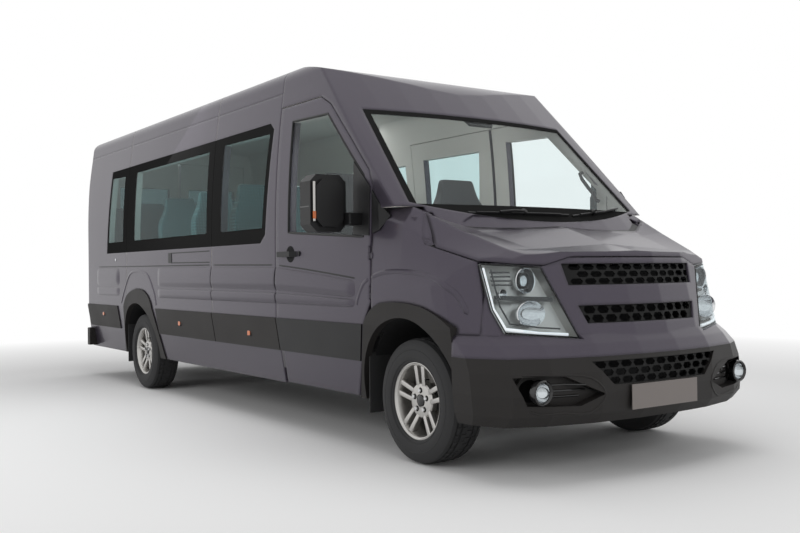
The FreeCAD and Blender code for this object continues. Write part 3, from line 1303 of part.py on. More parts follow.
steering_wheel = cut("steering_wheel_solid", fuse("wheel_all", cut("wheel_ring", ring_outer, ring_inner), wheel_hub,
                                                  *wheel_bars), wheel_bore)
steering_wheel.Placement = Placement(Vector(*[float(c) for c in column_top]),
                                     tilt.multiply(Rotation(Vector(1, 0, 0), 90)))
part("steering_wheel", steering_wheel)

doc.recompute()
faults = [thing.Name for thing in doc.Objects if "Invalid" in thing.State or "Error" in thing.State]
faults += [label for label, thing in nodes.items() if thing.Shape.isNull() or not thing.Shape.isValid()]
for label, thing in nodes.items():
    shape = thing.Shape
    print(f"{label:22s} solids {len(shape.Solids)} faces {len(shape.Faces)} volume {shape.Volume / 1e6:.2f}")
if faults:
    raise RuntimeError("these did not build: " + ", ".join(faults))
os.makedirs("parts", exist_ok=True)
for label, thing in nodes.items():
    thing.Shape.exportStep(f"parts/{label}.step")
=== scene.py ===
"""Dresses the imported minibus: materials, wheels, lamps, trim, seats, studio and camera."""

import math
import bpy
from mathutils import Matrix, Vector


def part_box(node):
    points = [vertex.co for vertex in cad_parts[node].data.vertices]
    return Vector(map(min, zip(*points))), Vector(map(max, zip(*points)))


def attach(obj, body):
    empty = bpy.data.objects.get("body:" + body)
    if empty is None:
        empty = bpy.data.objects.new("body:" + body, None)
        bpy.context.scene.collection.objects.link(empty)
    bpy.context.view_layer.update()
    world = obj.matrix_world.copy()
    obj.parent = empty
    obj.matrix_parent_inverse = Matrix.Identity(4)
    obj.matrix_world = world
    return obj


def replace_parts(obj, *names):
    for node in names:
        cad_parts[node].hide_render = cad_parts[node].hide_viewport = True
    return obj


bl_info = {
    "name": "Minibus dressing",
    "version": (1, 0, 0),
    "blender": (4, 5, 0),
    "location": "View3D > Sidebar > Minibus",
    "description": "Materials, wheels, lamps, trim, seats and studio for the packed minibus",
    "category": "Object",
}

import bpy
from mathutils import Matrix, Vector
from mathutils.bvhtree import BVHTree

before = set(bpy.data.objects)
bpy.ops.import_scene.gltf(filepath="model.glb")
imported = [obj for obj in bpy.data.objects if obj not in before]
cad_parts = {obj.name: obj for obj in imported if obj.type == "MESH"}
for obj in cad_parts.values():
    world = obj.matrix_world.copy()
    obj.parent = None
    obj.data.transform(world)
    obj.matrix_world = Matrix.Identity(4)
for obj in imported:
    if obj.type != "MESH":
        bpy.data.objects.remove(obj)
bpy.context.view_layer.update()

MM = 0.001
SIDES = {"right": -1, "left": 1}
AXLES = {"front": 2.555, "rear": -1.845}
WHEEL_Y, AXLE_HEIGHT = 0.8675, 0.354


# Helpers


def linear(colour):
    """A colour as linear red, green, blue and a full alpha, from sRGB hex or from a property that is linear."""
    if not isinstance(colour, str):
        return (*colour[:3], 1.0)
    parts = [int(colour[i:i + 2], 16) / 255 for i in (1, 3, 5)]
    return tuple(c / 12.92 if c <= 0.04045 else ((c + 0.055) / 1.055) ** 2.4 for c in parts) + (1.0,)


def add(tree, kind, inputs=None, **settings):
    """Adds a node with its settings. An input is a value, or the socket or the node that it is linked from."""
    made = tree.nodes.new(kind)
    for name, value in settings.items():
        setattr(made, name, value)
    for name, value in (inputs or {}).items():
        if isinstance(value, bpy.types.Node):
            value = value.outputs[0]
        if isinstance(value, bpy.types.NodeSocket):
            tree.links.new(value, made.inputs[name])
        else:
            made.inputs[name].default_value = value
    return made


def begin(name):
    """An empty material with its object coordinates."""
    material = bpy.data.materials.new(name)
    material.use_nodes = True
    tree = material.node_tree
    tree.nodes.clear()
    return material, tree, add(tree, "ShaderNodeTexCoord").outputs["Object"]


def finish_with(tree, shader):
    """Sends a shader to the material's output."""
    add(tree, "ShaderNodeOutputMaterial", {"Surface": shader})


def grain(tree, place, size, height, detail=2.0):
    """A fine noise as a bump. Size is the grain's width and height its relief, in metres."""
    noise = add(tree, "ShaderNodeTexNoise", {"Vector": place, "Scale": 1 / size, "Detail": detail, "Roughness": 0.6})
    bump = add(tree, "ShaderNodeBump", {"Height": noise.outputs["Fac"], "Strength": 1.0, "Distance": height})
    return noise.outputs["Fac"], bump.outputs["Normal"]


def lightened(colour, times):
    """A colour so many times as bright."""
    return (*(min(1.0, part * times) for part in linear(colour)[:3]), 1.0)


# Materials

# Widths of the slow patterns: the lacquer's drift, handling marks on plastic and dust on iron
LACQUER_DRIFT, HANDLING_MARK, DUST_PATCH = 2 / 3, 1 / 3, 40 * MM
# Threads are drawn this far apart, which the weave's docstring explains
WEAVE_PITCH = math.tau * 4 * MM
# Heights for the pale lining: the middle that walls and roof look towards, and the top of the floor
CABIN_MIDDLE, FLOOR_TOP = 1.35, 0.62


def metallic_lacquer(colours, name="metallic_lacquer", lining=False):
    """Two-coat metallic lacquer on steel: mauve grey with aluminium flake under a clear coat.

    With a lining, faces that look inwards are pale moulded trim, as inside a cabin.
    """
    material, tree, place = begin(name)
    # Flake is 0.05 mm wide, drawn at 0.8 mm so that it shows as a slight sparkle.
    flake = add(tree, "ShaderNodeTexVoronoi", {"Vector": place, "Scale": 1 / (0.8 * MM)})
    tones = {0: flake.outputs["Distance"], 6: linear(colours.paint_base), 7: linear(colours.paint_flake)}
    colour = add(tree, "ShaderNodeMix", tones, data_type="RGBA").outputs[2]
    drift = add(tree, "ShaderNodeTexNoise", {"Vector": place, "Scale": 1 / LACQUER_DRIFT, "Detail": 1.0})
    rough = add(tree, "ShaderNodeMath", {0: drift.outputs["Fac"], 1: 0.06, 2: 0.27}, operation="MULTIPLY_ADD")
    # Pressed steel turns with a soft radius, so edges under 30 mm apart shade as one curve.
    soft_edges = add(tree, "ShaderNodeBevel", {"Radius": 30 * MM}, samples=6)
    outer = add(tree, "ShaderNodeBsdfPrincipled", {
        "Base Color": colour, "Metallic": 0.55, "Roughness": rough, "Coat Weight": 0.3, "Coat Roughness": 0.06,
        "Specular IOR Level": 0.25, "Normal": soft_edges})
    if not lining:
        finish_with(tree, outer)
        return material
    facing = add(tree, "ShaderNodeTexCoord").outputs["Normal"]
    from_middle = add(tree, "ShaderNodeVectorMath", {0: place, 1: (0.0, 0.0, CABIN_MIDDLE)}, operation="SUBTRACT")
    outward = add(tree, "ShaderNodeVectorMath", {0: from_middle, 1: facing}, operation="DOT_PRODUCT")
    inward = add(tree, "ShaderNodeMath", {0: outward.outputs["Value"], 1: -0.03}, operation="LESS_THAN")
    height = add(tree, "ShaderNodeSeparateXYZ", {0: place}).outputs["Z"]
    above_floor = add(tree, "ShaderNodeMath", {0: height, 1: FLOOR_TOP}, operation="GREATER_THAN")
    inside = add(tree, "ShaderNodeMath", {0: inward, 1: above_floor}, operation="MULTIPLY")
    _, relief = grain(tree, place, 1.5 * MM, 0.1 * MM)
    inner = add(tree, "ShaderNodeBsdfPrincipled", {
        "Base Color": linear("#d2cfc9"), "Roughness": 0.75, "Normal": relief})
    finish_with(tree, add(tree, "ShaderNodeMixShader", {0: inside, 1: outer, 2: inner}))
    return material


def moulded_plastic(name, colour, roughness=0.55, relief=0.12):
    """Moulded polypropylene: an eroded grain about 1 mm wide breaks up its low sheen."""
    material, tree, place = begin(name)
    fine, bump = grain(tree, place, 1.2 * MM, relief * MM, 3.0)
    shade = add(tree, "ShaderNodeMix", {0: fine, 6: linear(colour), 7: lightened(colour, 1.35)}, data_type="RGBA")
    wear = add(tree, "ShaderNodeTexNoise", {"Vector": place, "Scale": 1 / HANDLING_MARK, "Detail": 2.0})
    rough = add(tree, "ShaderNodeMath", {0: wear.outputs["Fac"], 1: 0.12, 2: roughness - 0.06},
                operation="MULTIPLY_ADD")
    finish_with(tree, add(tree, "ShaderNodeBsdfPrincipled", {
        "Base Color": shade.outputs[2], "Roughness": rough, "Normal": bump, "Specular IOR Level": 0.3}))
    return material


def evenly_grained(name, dark, light, size, height, look, detail=2.0):
    """A finish whose tone and relief both follow one fine grain. Look holds what else the surface is set to."""
    material, tree, place = begin(name)
    fine, bump = grain(tree, place, size, height, detail)
    shade = add(tree, "ShaderNodeMix", {0: fine, 6: linear(dark), 7: linear(light)}, data_type="RGBA")
    finish_with(tree, add(tree, "ShaderNodeBsdfPrincipled", {"Base Color": shade.outputs[2], "Normal": bump, **look}))
    return material


def gloss_plastic(name, colour, roughness=0.12, painted_glow=0.0):
    """Polished ABS: a smooth surface with a slight orange peel 8 mm across. A light guide also gets a little painted
    glow, which stands in for the light its white plastic catches.
    """
    return evenly_grained(name, colour, colour, 8 * MM, 0.02 * MM, {
        "Roughness": roughness, "Coat Weight": 0.4, "Coat Roughness": 0.03, "Emission Color": linear(colour),
        "Emission Strength": painted_glow})


def tyre_rubber():
    """Carbon-black rubber, moulded: matt, near black, with a faint bloom."""
    return evenly_grained("tyre_rubber", "#1d1d1e", "#2f2f30", 2.5 * MM, 0.15 * MM, {"Roughness": 0.72}, 4.0)


def cast_alloy():
    """Cast aluminium under silver lacquer: bright with a fine even flake."""
    return evenly_grained("lacquered_alloy", "#b3b1ae", "#c9c7c3", 1.0 * MM, 0.02 * MM, {
        "Metallic": 0.85, "Roughness": 0.28, "Coat Weight": 0.5, "Coat Roughness": 0.08})


def bright_chrome():
    """Vacuum-metallised reflector: a mirror with very slight ripple."""
    return evenly_grained("bright_chrome", "#c9cbcd", "#e6e7e8", 20 * MM, 0.05 * MM, {
        "Metallic": 1.0, "Roughness": 0.08})


def bare_metal(name, colour, roughness, spots):
    """Bare or thinly painted iron: colour drifts with dust and oil over 40 mm patches."""
    material, tree, place = begin(name)
    patch = add(tree, "ShaderNodeTexNoise", {"Vector": place, "Scale": 1 / DUST_PATCH, "Detail": 5.0})
    tones = {0: patch.outputs["Fac"], 6: linear(spots), 7: linear(colour)}
    shade = add(tree, "ShaderNodeMix", tones, data_type="RGBA")
    _, bump = grain(tree, place, 2 * MM, 0.2 * MM)
    finish_with(tree, add(tree, "ShaderNodeBsdfPrincipled", {
        "Base Color": shade.outputs[2], "Metallic": 0.6, "Roughness": roughness, "Normal": bump}))
    return material


def see_through(tree, tint):
    """A clear tinted pane: it passes the tint and mirrors more of its surroundings at a glancing angle."""
    facing = add(tree, "ShaderNodeLayerWeight", {"Blend": 0.5}).outputs["Facing"]
    glancing = add(tree, "ShaderNodeMath", {0: facing, 1: 6.0}, operation="POWER")
    mirrored = add(tree, "ShaderNodeMath", {0: glancing, 1: 0.4, 2: 0.02}, operation="MULTIPLY_ADD")
    clear = add(tree, "ShaderNodeBsdfTransparent", {"Color": linear(tint)})
    mirror = add(tree, "ShaderNodeBsdfPrincipled", {
        "Base Color": linear("#f4f6f7"), "Metallic": 1.0, "Roughness": 0.03})
    return add(tree, "ShaderNodeMixShader", {0: mirrored, 1: clear, 2: mirror})


def clear_pane(name, tint):
    """Tinted safety glass, or the clear polycarbonate of a lamp."""
    material, tree, _ = begin(name)
    finish_with(tree, see_through(tree, tint))
    return material


def slanted_window(tree, along, up, edges):
    """A mask that is 1 inside a four-sided window. Each edge is a, b, c with a*along + b*up + c above zero."""
    mask = None
    for a, b, c in edges:
        across = add(tree, "ShaderNodeMath", {0: along, 1: a}, operation="MULTIPLY")
        total = add(tree, "ShaderNodeMath", {0: up, 1: b, 2: across}, operation="MULTIPLY_ADD")
        within = add(tree, "ShaderNodeMath", {0: total, 1: -c}, operation="GREATER_THAN")
        mask = within if mask is None else add(tree, "ShaderNodeMath", {0: mask, 1: within}, operation="MULTIPLY")
    return mask


def window_edges(corners):
    """Edge lines of a window from its corners, anticlockwise."""
    lines = []
    for (u0, v0), (u1, v1) in zip(corners, corners[1:] + corners[:1]):
        length = math.hypot(u1 - u0, v1 - v0)
        a, b = -(v1 - v0) / length, (u1 - u0) / length
        lines.append((a, b, -(a * u0 + b * v0)))
    return lines


def bordered_glass(name, windows, axes, tint):
    """Glass with a fired black ceramic border: see-through only inside its windows."""
    material, tree, place = begin(name)
    split = add(tree, "ShaderNodeSeparateXYZ", {0: place})
    along, up = (split.outputs[axis] for axis in axes)
    mask = None
    for corners in windows:
        one = slanted_window(tree, along, up, window_edges(corners))
        mask = one if mask is None else add(tree, "ShaderNodeMath", {0: mask, 1: one}, operation="MAXIMUM")
    ceramic = add(tree, "ShaderNodeBsdfPrincipled", {
        "Base Color": linear("#262626"), "Roughness": 0.5, "Specular IOR Level": 0.0})
    finish_with(tree, add(tree, "ShaderNodeMixShader", {0: mask, 1: ceramic, 2: see_through(tree, tint)}))
    return material


def woven_cloth(name, colour):
    """Flat-woven upholstery: threads 1 mm apart, drawn at 25 mm so that the weave shows through glass."""
    material, tree, place = begin(name)
    # At a scale of 1, the wave node's bands are a twentieth of tau apart.
    wave = {"Vector": place, "Scale": math.tau / 20 / WEAVE_PITCH, "Distortion": 0.6}
    warp = add(tree, "ShaderNodeTexWave", wave, bands_direction="Y")
    weft = add(tree, "ShaderNodeTexWave", wave, bands_direction="Z")
    weave = add(tree, "ShaderNodeMath", {0: warp.outputs["Fac"], 1: weft.outputs["Fac"]}, operation="MULTIPLY")
    bump = add(tree, "ShaderNodeBump", {"Height": weave, "Strength": 0.5, "Distance": 0.4 * MM})
    shade = add(tree, "ShaderNodeMix", {0: weave, 6: linear(colour), 7: lightened(colour, 2.0)}, data_type="RGBA")
    finish_with(tree, add(tree, "ShaderNodeBsdfPrincipled", {
        "Base Color": shade.outputs[2], "Roughness": 0.9, "Normal": bump, "Sheen Weight": 0.3}))
    return material


# The glass areas of the side band, from x and z, and of the windscreen, from y and z, in metres
SIDE_WINDOWS = [
    [(-2.690, 1.405), (-2.238, 1.405), (-2.255, 2.046), (-2.640, 2.056)],
    [(-1.918, 1.405), (-0.205, 1.405), (-0.215, 2.062), (-1.924, 2.056)],
    [(0.068, 1.405), (0.785, 1.405), (0.846, 2.074), (0.068, 2.082)],
]
SCREEN_WINDOW = [[(-0.895, 1.475), (0.895, 1.475), (0.815, 2.085), (-0.815, 2.085)]]


def make_materials(colours):
    """Every finish on the vehicle, by a plain name."""
    return {
        # Two-coat lacquer on steel: dark mauve, with a paler sheen where light falls flat
        "paint": metallic_lacquer(colours),
        "lined_paint": metallic_lacquer(colours, "lined_lacquer", True),
        # Moulded polypropylene: matt on the cladding, arches and dash, smoother on handles and scuttle
        "cladding": moulded_plastic("grained_cladding", colours.cladding),
        "black": moulded_plastic("black_moulding", "#121213", 0.4, 0.05),
        "mesh_black": moulded_plastic("grille_mesh", "#070707", 0.7, 0.02),
        "liner": moulded_plastic("arch_liner", "#111112", 0.8),
        "trim": moulded_plastic("dash_moulding", "#232325", 0.6),
        "plate": moulded_plastic("plate_blank", colours.plate, 0.5, 0.02),
        # Polished ABS and acrylic: deep gloss, and a light guide with a painted glow for the light its white plastic
        # catches
        "gloss_black": gloss_plastic("polished_black", "#0b0b0c"),
        "orange": gloss_plastic("orange_lens", "#c9621a"),
        "red": gloss_plastic("red_lens", "#7c0d10"),
        # The light guide's glow is painted light that brightens its white plastic. It is not a lit lamp.
        "light_guide": gloss_plastic("light_guide", "#f3f5f7", painted_glow=0.45),
        # Rubber and metals: dull black tyres, silver wheels, sooty chassis, ground discs and lamp mirrors
        "rubber": tyre_rubber(),
        "alloy": cast_alloy(),
        "iron": bare_metal("chassis_black", "#2a2a2b", 0.55, "#121212"),
        "steel": bare_metal("stainless_pipe", "#8d8a85", 0.35, "#5b5753"),
        "disc": bare_metal("ground_iron", "#8a8884", 0.35, "#5f5c59"),
        "mirror": bare_metal("mirror_silver", "#dfe3e5", 0.03, "#cfd4d7"),
        "chrome": bright_chrome(),
        # Glass and polycarbonate: faintly blue, brightest at their glancing edges
        "lens": clear_pane("clear_lens", "#f4f7f8"),
        "door_glass": clear_pane("door_glass", colours.glass),
        "rear_glass": clear_pane("rear_glass", "#7d8f90"),
        "band_glass": bordered_glass("banded_glass", SIDE_WINDOWS, ("X", "Z"), colours.side_glass),
        "screen_glass": bordered_glass("screen_glass", SCREEN_WINDOW, ("Y", "Z"), colours.glass),
        # Woven polyester: teal passenger seats and dark cab seats, both with a soft sheen
        "cloth": woven_cloth("seat_cloth", colours.cloth),
        "cab_cloth": woven_cloth("cab_seat_cloth", "#2a2c2e"),
    }


NODE_FINISH = {
    "lined_paint": ["side_wall_right", "side_wall_left", "sliding_door", "roof", "cab_shell", "door_right",
                    "door_left", "rear_door_right", "rear_door_left"],
    "paint": ["bonnet", "wings", "nose_panel"],
    "cladding": ["side_mouldings", "front_bumper", "rear_bumper"],
    "black": ["door_right_trim", "door_left_trim", "scuttle", "fuel_tank"],
    "mesh_black": ["grille"],
    "band_glass": ["side_windows"],
    "screen_glass": ["windscreen"],
    "door_glass": ["door_right_glass", "door_left_glass"],
    "rear_glass": ["rear_door_right_glass", "rear_door_left_glass"],
    "red": ["tail_lamps"],
    "lens": ["lamp_lenses", "fog_lamps"],
    "chrome": ["lamp_housings"],
    "liner": ["floor_pan", "wheelhouses", "sills"],
    "iron": ["seat_frames", "chassis_frame", "front_suspension", "rear_axle", "engine", "knuckle_right",
             "knuckle_left"],
    "steel": ["exhaust"],
    "cloth": ["cab_seats", "passenger_seats"],
    "trim": ["dashboard", "steering_wheel", "bulkhead"],
}


# Modelling helpers


def deselect():
    """Leaves edit mode with nothing selected."""
    if bpy.context.object and bpy.context.object.mode != "OBJECT":
        bpy.ops.object.mode_set(mode="OBJECT")
    bpy.ops.object.select_all(action="DESELECT")


def only(piece):
    """Selects one piece alone."""
    deselect()
    piece.select_set(True)
    bpy.context.view_layer.objects.active = piece


def settle(piece, name):
    """Moves a piece's place into its mesh and names it."""
    only(piece)
    bpy.ops.object.transform_apply(location=True, rotation=True, scale=True)
    piece.name = name
    piece.data.name = name
    return piece


def bevelled(piece, width, segments=2):
    """Rounds a piece's sharp edges."""
    only(piece)
    edge = piece.modifiers.new("edge", "BEVEL")
    edge.width = width
    edge.segments = segments
    edge.limit_method = "ANGLE"
    edge.angle_limit = math.radians(35)
    bpy.ops.object.modifier_apply(modifier="edge")
    return piece


def smooth(piece, angle=40):
    """Shades a piece smooth, but for edges sharper than an angle in degrees."""
    only(piece)
    bpy.ops.object.shade_smooth_by_angle(angle=math.radians(angle))
    return piece


def facing_out(piece):
    """Turns all of a piece's faces outwards."""
    only(piece)
    bpy.ops.object.mode_set(mode="EDIT")
    bpy.ops.mesh.select_all(action="SELECT")
    bpy.ops.mesh.normals_make_consistent(inside=False)
    bpy.ops.object.mode_set(mode="OBJECT")
    return piece


def thickened(piece, thickness, offset=-1):
    """Gives a sheet its thickness: to the back at an offset of -1 and to both sides at 0."""
    sheet = piece.modifiers.new("sheet", "SOLIDIFY")
    sheet.thickness = thickness
    sheet.offset = offset
    bpy.ops.object.modifier_apply(modifier="sheet")
    return piece


def block(name, low, high, edge=0.0):
    """A block between two corners, its edges rounded."""
    deselect()
    low, high = Vector(low), Vector(high)
    bpy.ops.mesh.primitive_cube_add(size=1, location=(low + high) / 2)
    piece = bpy.context.object
    piece.scale = high - low
    settle(piece, name)
    if edge:
        bevelled(piece, edge)
    return piece


def disc(name, middle, radius, depth, axis, sides, edge=0.0):
    """A round piece along an axis, its rims rounded."""
    deselect()
    turn = Vector(axis).to_track_quat("Z", "Y").to_euler()
    bpy.ops.mesh.primitive_cylinder_add(vertices=sides, radius=radius, depth=depth, location=middle, rotation=turn)
    piece = settle(bpy.context.object, name)
    if edge:
        bevelled(piece, edge)
    return piece


def bead(name, points, radius, closed=False):
    """A round bead of rubber or wire along a line of points."""
    deselect()
    bpy.ops.curve.primitive_nurbs_path_add()
    path = bpy.context.object
    curve = path.data
    curve.splines.clear()
    spline = curve.splines.new("POLY")
    spline.points.add(len(points) - 1)
    for spot, point in zip(spline.points, points):
        spot.co = (*point, 1)
    spline.use_cyclic_u = closed
    curve.dimensions = "3D"
    curve.bevel_depth = radius
    curve.bevel_resolution = 2
    curve.use_fill_caps = not closed
    only(path)
    bpy.ops.object.convert(target="MESH")
    return smooth(settle(bpy.context.object, name))


def panel(name, corners, thickness, edge=0.0):
    """A flat panel with given corners, thickened to both sides."""
    deselect()
    bpy.ops.mesh.primitive_circle_add(vertices=len(corners), fill_type="NGON")
    piece = bpy.context.object
    for vertex, corner in zip(piece.data.vertices, corners):
        vertex.co = corner
    settle(thickened(piece, thickness, 0), name)
    if edge:
        bevelled(piece, edge)
    return piece


def joined(name, pieces):
    """Several pieces as one mesh."""
    deselect()
    for piece in pieces:
        piece.select_set(True)
    bpy.context.view_layer.objects.active = pieces[0]
    bpy.ops.object.join()
    return settle(bpy.context.object, name)


def twin(piece, name):
    """A mirrored copy on the vehicle's other side."""
    only(piece)
    bpy.ops.object.duplicate()
    copy = bpy.context.object
    copy.scale = (1, -1, 1)
    return facing_out(settle(copy, name))


def both_sides(name, parts):
    """The parts of the right side and their mirrored copies, as one piece."""
    right = joined(name, parts) if len(parts) > 1 else parts[0]
    return joined(name, [right, twin(right, name + "_left")])


def between(value, table):
    """Straight-line reading of a table of (place, value) pairs."""
    for (p0, v0), (p1, v1) in zip(table, table[1:]):
        if value <= p1:
            return v0 + (v1 - v0) * (value - p0) / (p1 - p0)
    return table[-1][1]


FINISH = {}


def dress(piece, finish, body, slot=None):
    """Gives a piece its finish and the body that it rides on."""
    piece.data.materials.clear()
    piece.data.materials.append(FINISH[finish])
    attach(piece, body)
    return piece


def dress_pair(piece, finish, body, slot):
    """Dresses a piece of the right side and its mirrored copy. A cab door's piece rides the door of its side."""
    copy = twin(piece, piece.name + "_left")
    piece.name = piece.data.name = piece.name + "_right"
    for one, hand in ((piece, "_right"), (copy, "_left")):
        dress(one, finish, body + hand if body == "front_door" else body, slot)


def clothe_nodes():
    """Puts the plain finishes on the CAD pieces, which keep their shape."""
    for finish, names in NODE_FINISH.items():
        for name in names:
            node = bpy.data.objects[name]
            node.data.materials.clear()
            node.data.materials.append(FINISH[finish])


# Wheels


def ring_of(profile, sides, place, name):
    """Spins a profile of (across, radius) points round an axle. The last point joins the first where they meet."""
    closed = profile[0] == profile[-1]
    points = profile[:-1] if closed else profile
    deselect()
    bpy.ops.mesh.primitive_circle_add(vertices=len(points), radius=0.1, location=(0, 0, 0))
    piece = bpy.context.object
    for vertex, (across, radius) in zip(piece.data.vertices, points):
        vertex.co = (0, across, radius)
    if not closed:
        bpy.ops.object.mode_set(mode="EDIT")
        bpy.ops.mesh.select_mode(type="EDGE")
        bpy.ops.mesh.select_all(action="DESELECT")
        bpy.ops.object.mode_set(mode="OBJECT")
        last = {0, len(points) - 1}
        for edge in piece.data.edges:
            edge.select = set(edge.vertices) == last
        bpy.ops.object.mode_set(mode="EDIT")
        bpy.ops.mesh.delete(type="EDGE")
    else:
        bpy.ops.object.mode_set(mode="EDIT")
    bpy.ops.mesh.select_mode(type="VERT")
    bpy.ops.mesh.select_all(action="SELECT")
    bpy.ops.mesh.spin(steps=sides, angle=math.tau, center=(0, 0, 0), axis=(0, 1, 0))
    bpy.ops.mesh.select_all(action="SELECT")
    bpy.ops.mesh.remove_doubles(threshold=0.00005)
    bpy.ops.mesh.normals_make_consistent(inside=False)
    bpy.ops.object.mode_set(mode="OBJECT")
    piece.location = place
    return settle(piece, name)


TYRE_OUTLINE = [
    (-0.098, 0.216), (-0.108, 0.224), (-0.1165, 0.245), (-0.1185, 0.275), (-0.1155, 0.305), (-0.108, 0.328),
    (-0.099, 0.3435), (-0.080, 0.3500), (-0.0765, 0.3440), (-0.0715, 0.3440), (-0.068, 0.3522),
    (-0.045, 0.3532), (-0.0415, 0.3455), (-0.0365, 0.3455), (-0.033, 0.3536), (0.0, 0.3540),
    (0.033, 0.3536), (0.0365, 0.3455), (0.0415, 0.3455), (0.045, 0.3532), (0.068, 0.3522), (0.0715, 0.3440),
    (0.0765, 0.3440), (0.080, 0.3500), (0.099, 0.3435), (0.108, 0.328), (0.1155, 0.305), (0.1185, 0.275),
    (0.1165, 0.245), (0.108, 0.224), (0.098, 0.216), (0.092, 0.206), (-0.092, 0.206), (-0.098, 0.216),
]


# Tread blocks: how many round the tyre, and their width, least radius, furthest place across and sipes' depth
TREAD_STEPS, TREAD_ROW, TREAD_FOOT, TREAD_HALF_WIDTH, SIPE_DEPTH = 96, 0.03, 0.3475, 0.104, 0.0035


def tyre(name, x, side):
    """A road tyre: grooved tread with cross sipes, shoulder blocks and ribbed side walls."""
    place = Vector((x, side * WHEEL_Y, AXLE_HEIGHT))
    piece = ring_of(TYRE_OUTLINE, TREAD_STEPS, place, name)
    only(piece)
    bpy.ops.object.mode_set(mode="EDIT")
    bpy.ops.mesh.select_mode(type="FACE")
    bpy.ops.mesh.select_all(action="DESELECT")
    bpy.ops.object.mode_set(mode="OBJECT")
    for face in piece.data.polygons:
        spot = face.center - place
        if math.hypot(spot.x, spot.z) > TREAD_FOOT and abs(spot.y) < TREAD_HALF_WIDTH:
            step = int(math.atan2(spot.z, spot.x) / math.tau * TREAD_STEPS + TREAD_STEPS + 0.5)
            row = int((spot.y + 0.2) / TREAD_ROW)
            face.select = (step + row) % 2 == 0
    bpy.ops.object.mode_set(mode="EDIT")
    bpy.ops.mesh.inset(thickness=0.0016, depth=-SIPE_DEPTH, use_individual=True)
    bpy.ops.object.mode_set(mode="OBJECT")
    smooth(piece, 28)
    ribs = []
    for radius, raised in ((0.236, 0.1155), (0.289, 0.1186)):
        line = [(raised - 0.0014, radius - 0.003), (raised + 0.0006, radius), (raised - 0.0014, radius + 0.003)]
        ribs.append(smooth(ring_of([(side * a, r) for a, r in line], TREAD_STEPS, place, name + "_rib")))
    return joined(name, [piece] + ribs)


# Wheel nuts, and the radius at which they and the valve stand
NUTS, NUT_CIRCLE, VALVE_CIRCLE = 5, 0.0585, 0.150
# Each end of a spoke: radius, distance from the pair's middle, width, and how far out its front and back lie
SPOKE_FOOT = (0.082, 0.0265, 0.026, 0.071, 0.034)
SPOKE_TIP = (0.208, 0.0345, 0.030, 0.086, 0.052)


def spoke(name, place, side, middle, sign):
    """One spoke of a pair: a bar that widens from the hub to the barrel, to one side of the pair's middle."""
    deselect()
    bpy.ops.mesh.primitive_cube_add(size=1)
    bar = bpy.context.object
    for vertex in bar.data.vertices:
        away, offset, width, front, back = SPOKE_TIP if vertex.co.z > 0 else SPOKE_FOOT
        across = sign * offset + vertex.co.x * width
        depth = front if vertex.co.y > 0 else back
        vertex.co = (away * math.cos(middle) - across * math.sin(middle), side * depth,
                     away * math.sin(middle) + across * math.cos(middle))
    bar.location = place
    return smooth(bevelled(facing_out(settle(bar, name)), 0.005, 3))


def rim(name, x, side, spoke_pairs):
    """A cast wheel: barrel, lip, pairs of spokes, hub with five nuts and a dark centre cap."""
    place = Vector((x, side * WHEEL_Y, AXLE_HEIGHT))
    barrel = ring_of([(side * a, r) for a, r in (
        (0.100, 0.2205), (0.101, 0.214), (0.096, 0.2085), (0.086, 0.2055), (0.060, 0.200), (-0.02, 0.190),
        (-0.085, 0.200), (-0.098, 0.2165), (-0.101, 0.214), (-0.090, 0.197), (-0.02, 0.186), (0.055, 0.193),
        (0.084, 0.199), (0.094, 0.2045), (0.100, 0.2205))], 72, place, name + "_barrel")
    hub = ring_of([(side * a, r) for a, r in (
        (0.030, 0.0), (0.030, 0.100), (0.060, 0.100), (0.068, 0.094), (0.071, 0.080), (0.071, 0.038),
        (0.067, 0.036), (0.067, 0.0))], 60, place, name + "_hub")
    pieces = [smooth(barrel, 30), smooth(hub, 30)]
    for pair in range(spoke_pairs):
        middle = math.pi / 2 + pair * math.tau / spoke_pairs
        pieces += [spoke(name + "_spoke", place, side, middle, sign) for sign in (-1, 1)]
    wheel = joined(name, pieces)
    cap = ring_of([(side * a, r) for a, r in (
        (0.067, 0.0), (0.067, 0.034), (0.074, 0.033), (0.077, 0.028), (0.0785, 0.0))], 40, place, name + "_cap")
    darks, brights, outward = [smooth(cap)], [], (0, side, 0)
    for nut in range(NUTS):
        turn = math.pi / 2 + nut * math.tau / NUTS
        spot = place + Vector((NUT_CIRCLE * math.cos(turn), side * 0.070, NUT_CIRCLE * math.sin(turn)))
        darks.append(disc(name + "_seat", spot - Vector((0, side * 0.0005, 0)), 0.0165, 0.003, outward, 24))
        brights.append(disc(name + "_nut", spot + Vector((0, side * 0.006, 0)), 0.0105, 0.018, outward, 6, 0.0015))
    valve = place + Vector((VALVE_CIRCLE * math.cos(1.0), side * 0.085, VALVE_CIRCLE * math.sin(1.0)))
    darks.append(disc(name + "_valve", valve, 0.004, 0.03, outward, 12))
    return wheel, joined(name + "_cap", darks), joined(name + "_nuts", brights)


def brake_disc(name, x, side):
    """The brake disc that shows between the spokes, with its hat."""
    place = Vector((x, side * WHEEL_Y, AXLE_HEIGHT))
    return smooth(ring_of([(side * a, r) for a, r in (
        (-0.020, 0.0), (-0.020, 0.158), (-0.044, 0.158), (-0.044, 0.095), (-0.005, 0.092), (0.028, 0.090),
        (0.028, 0.0))], 60, place, name))


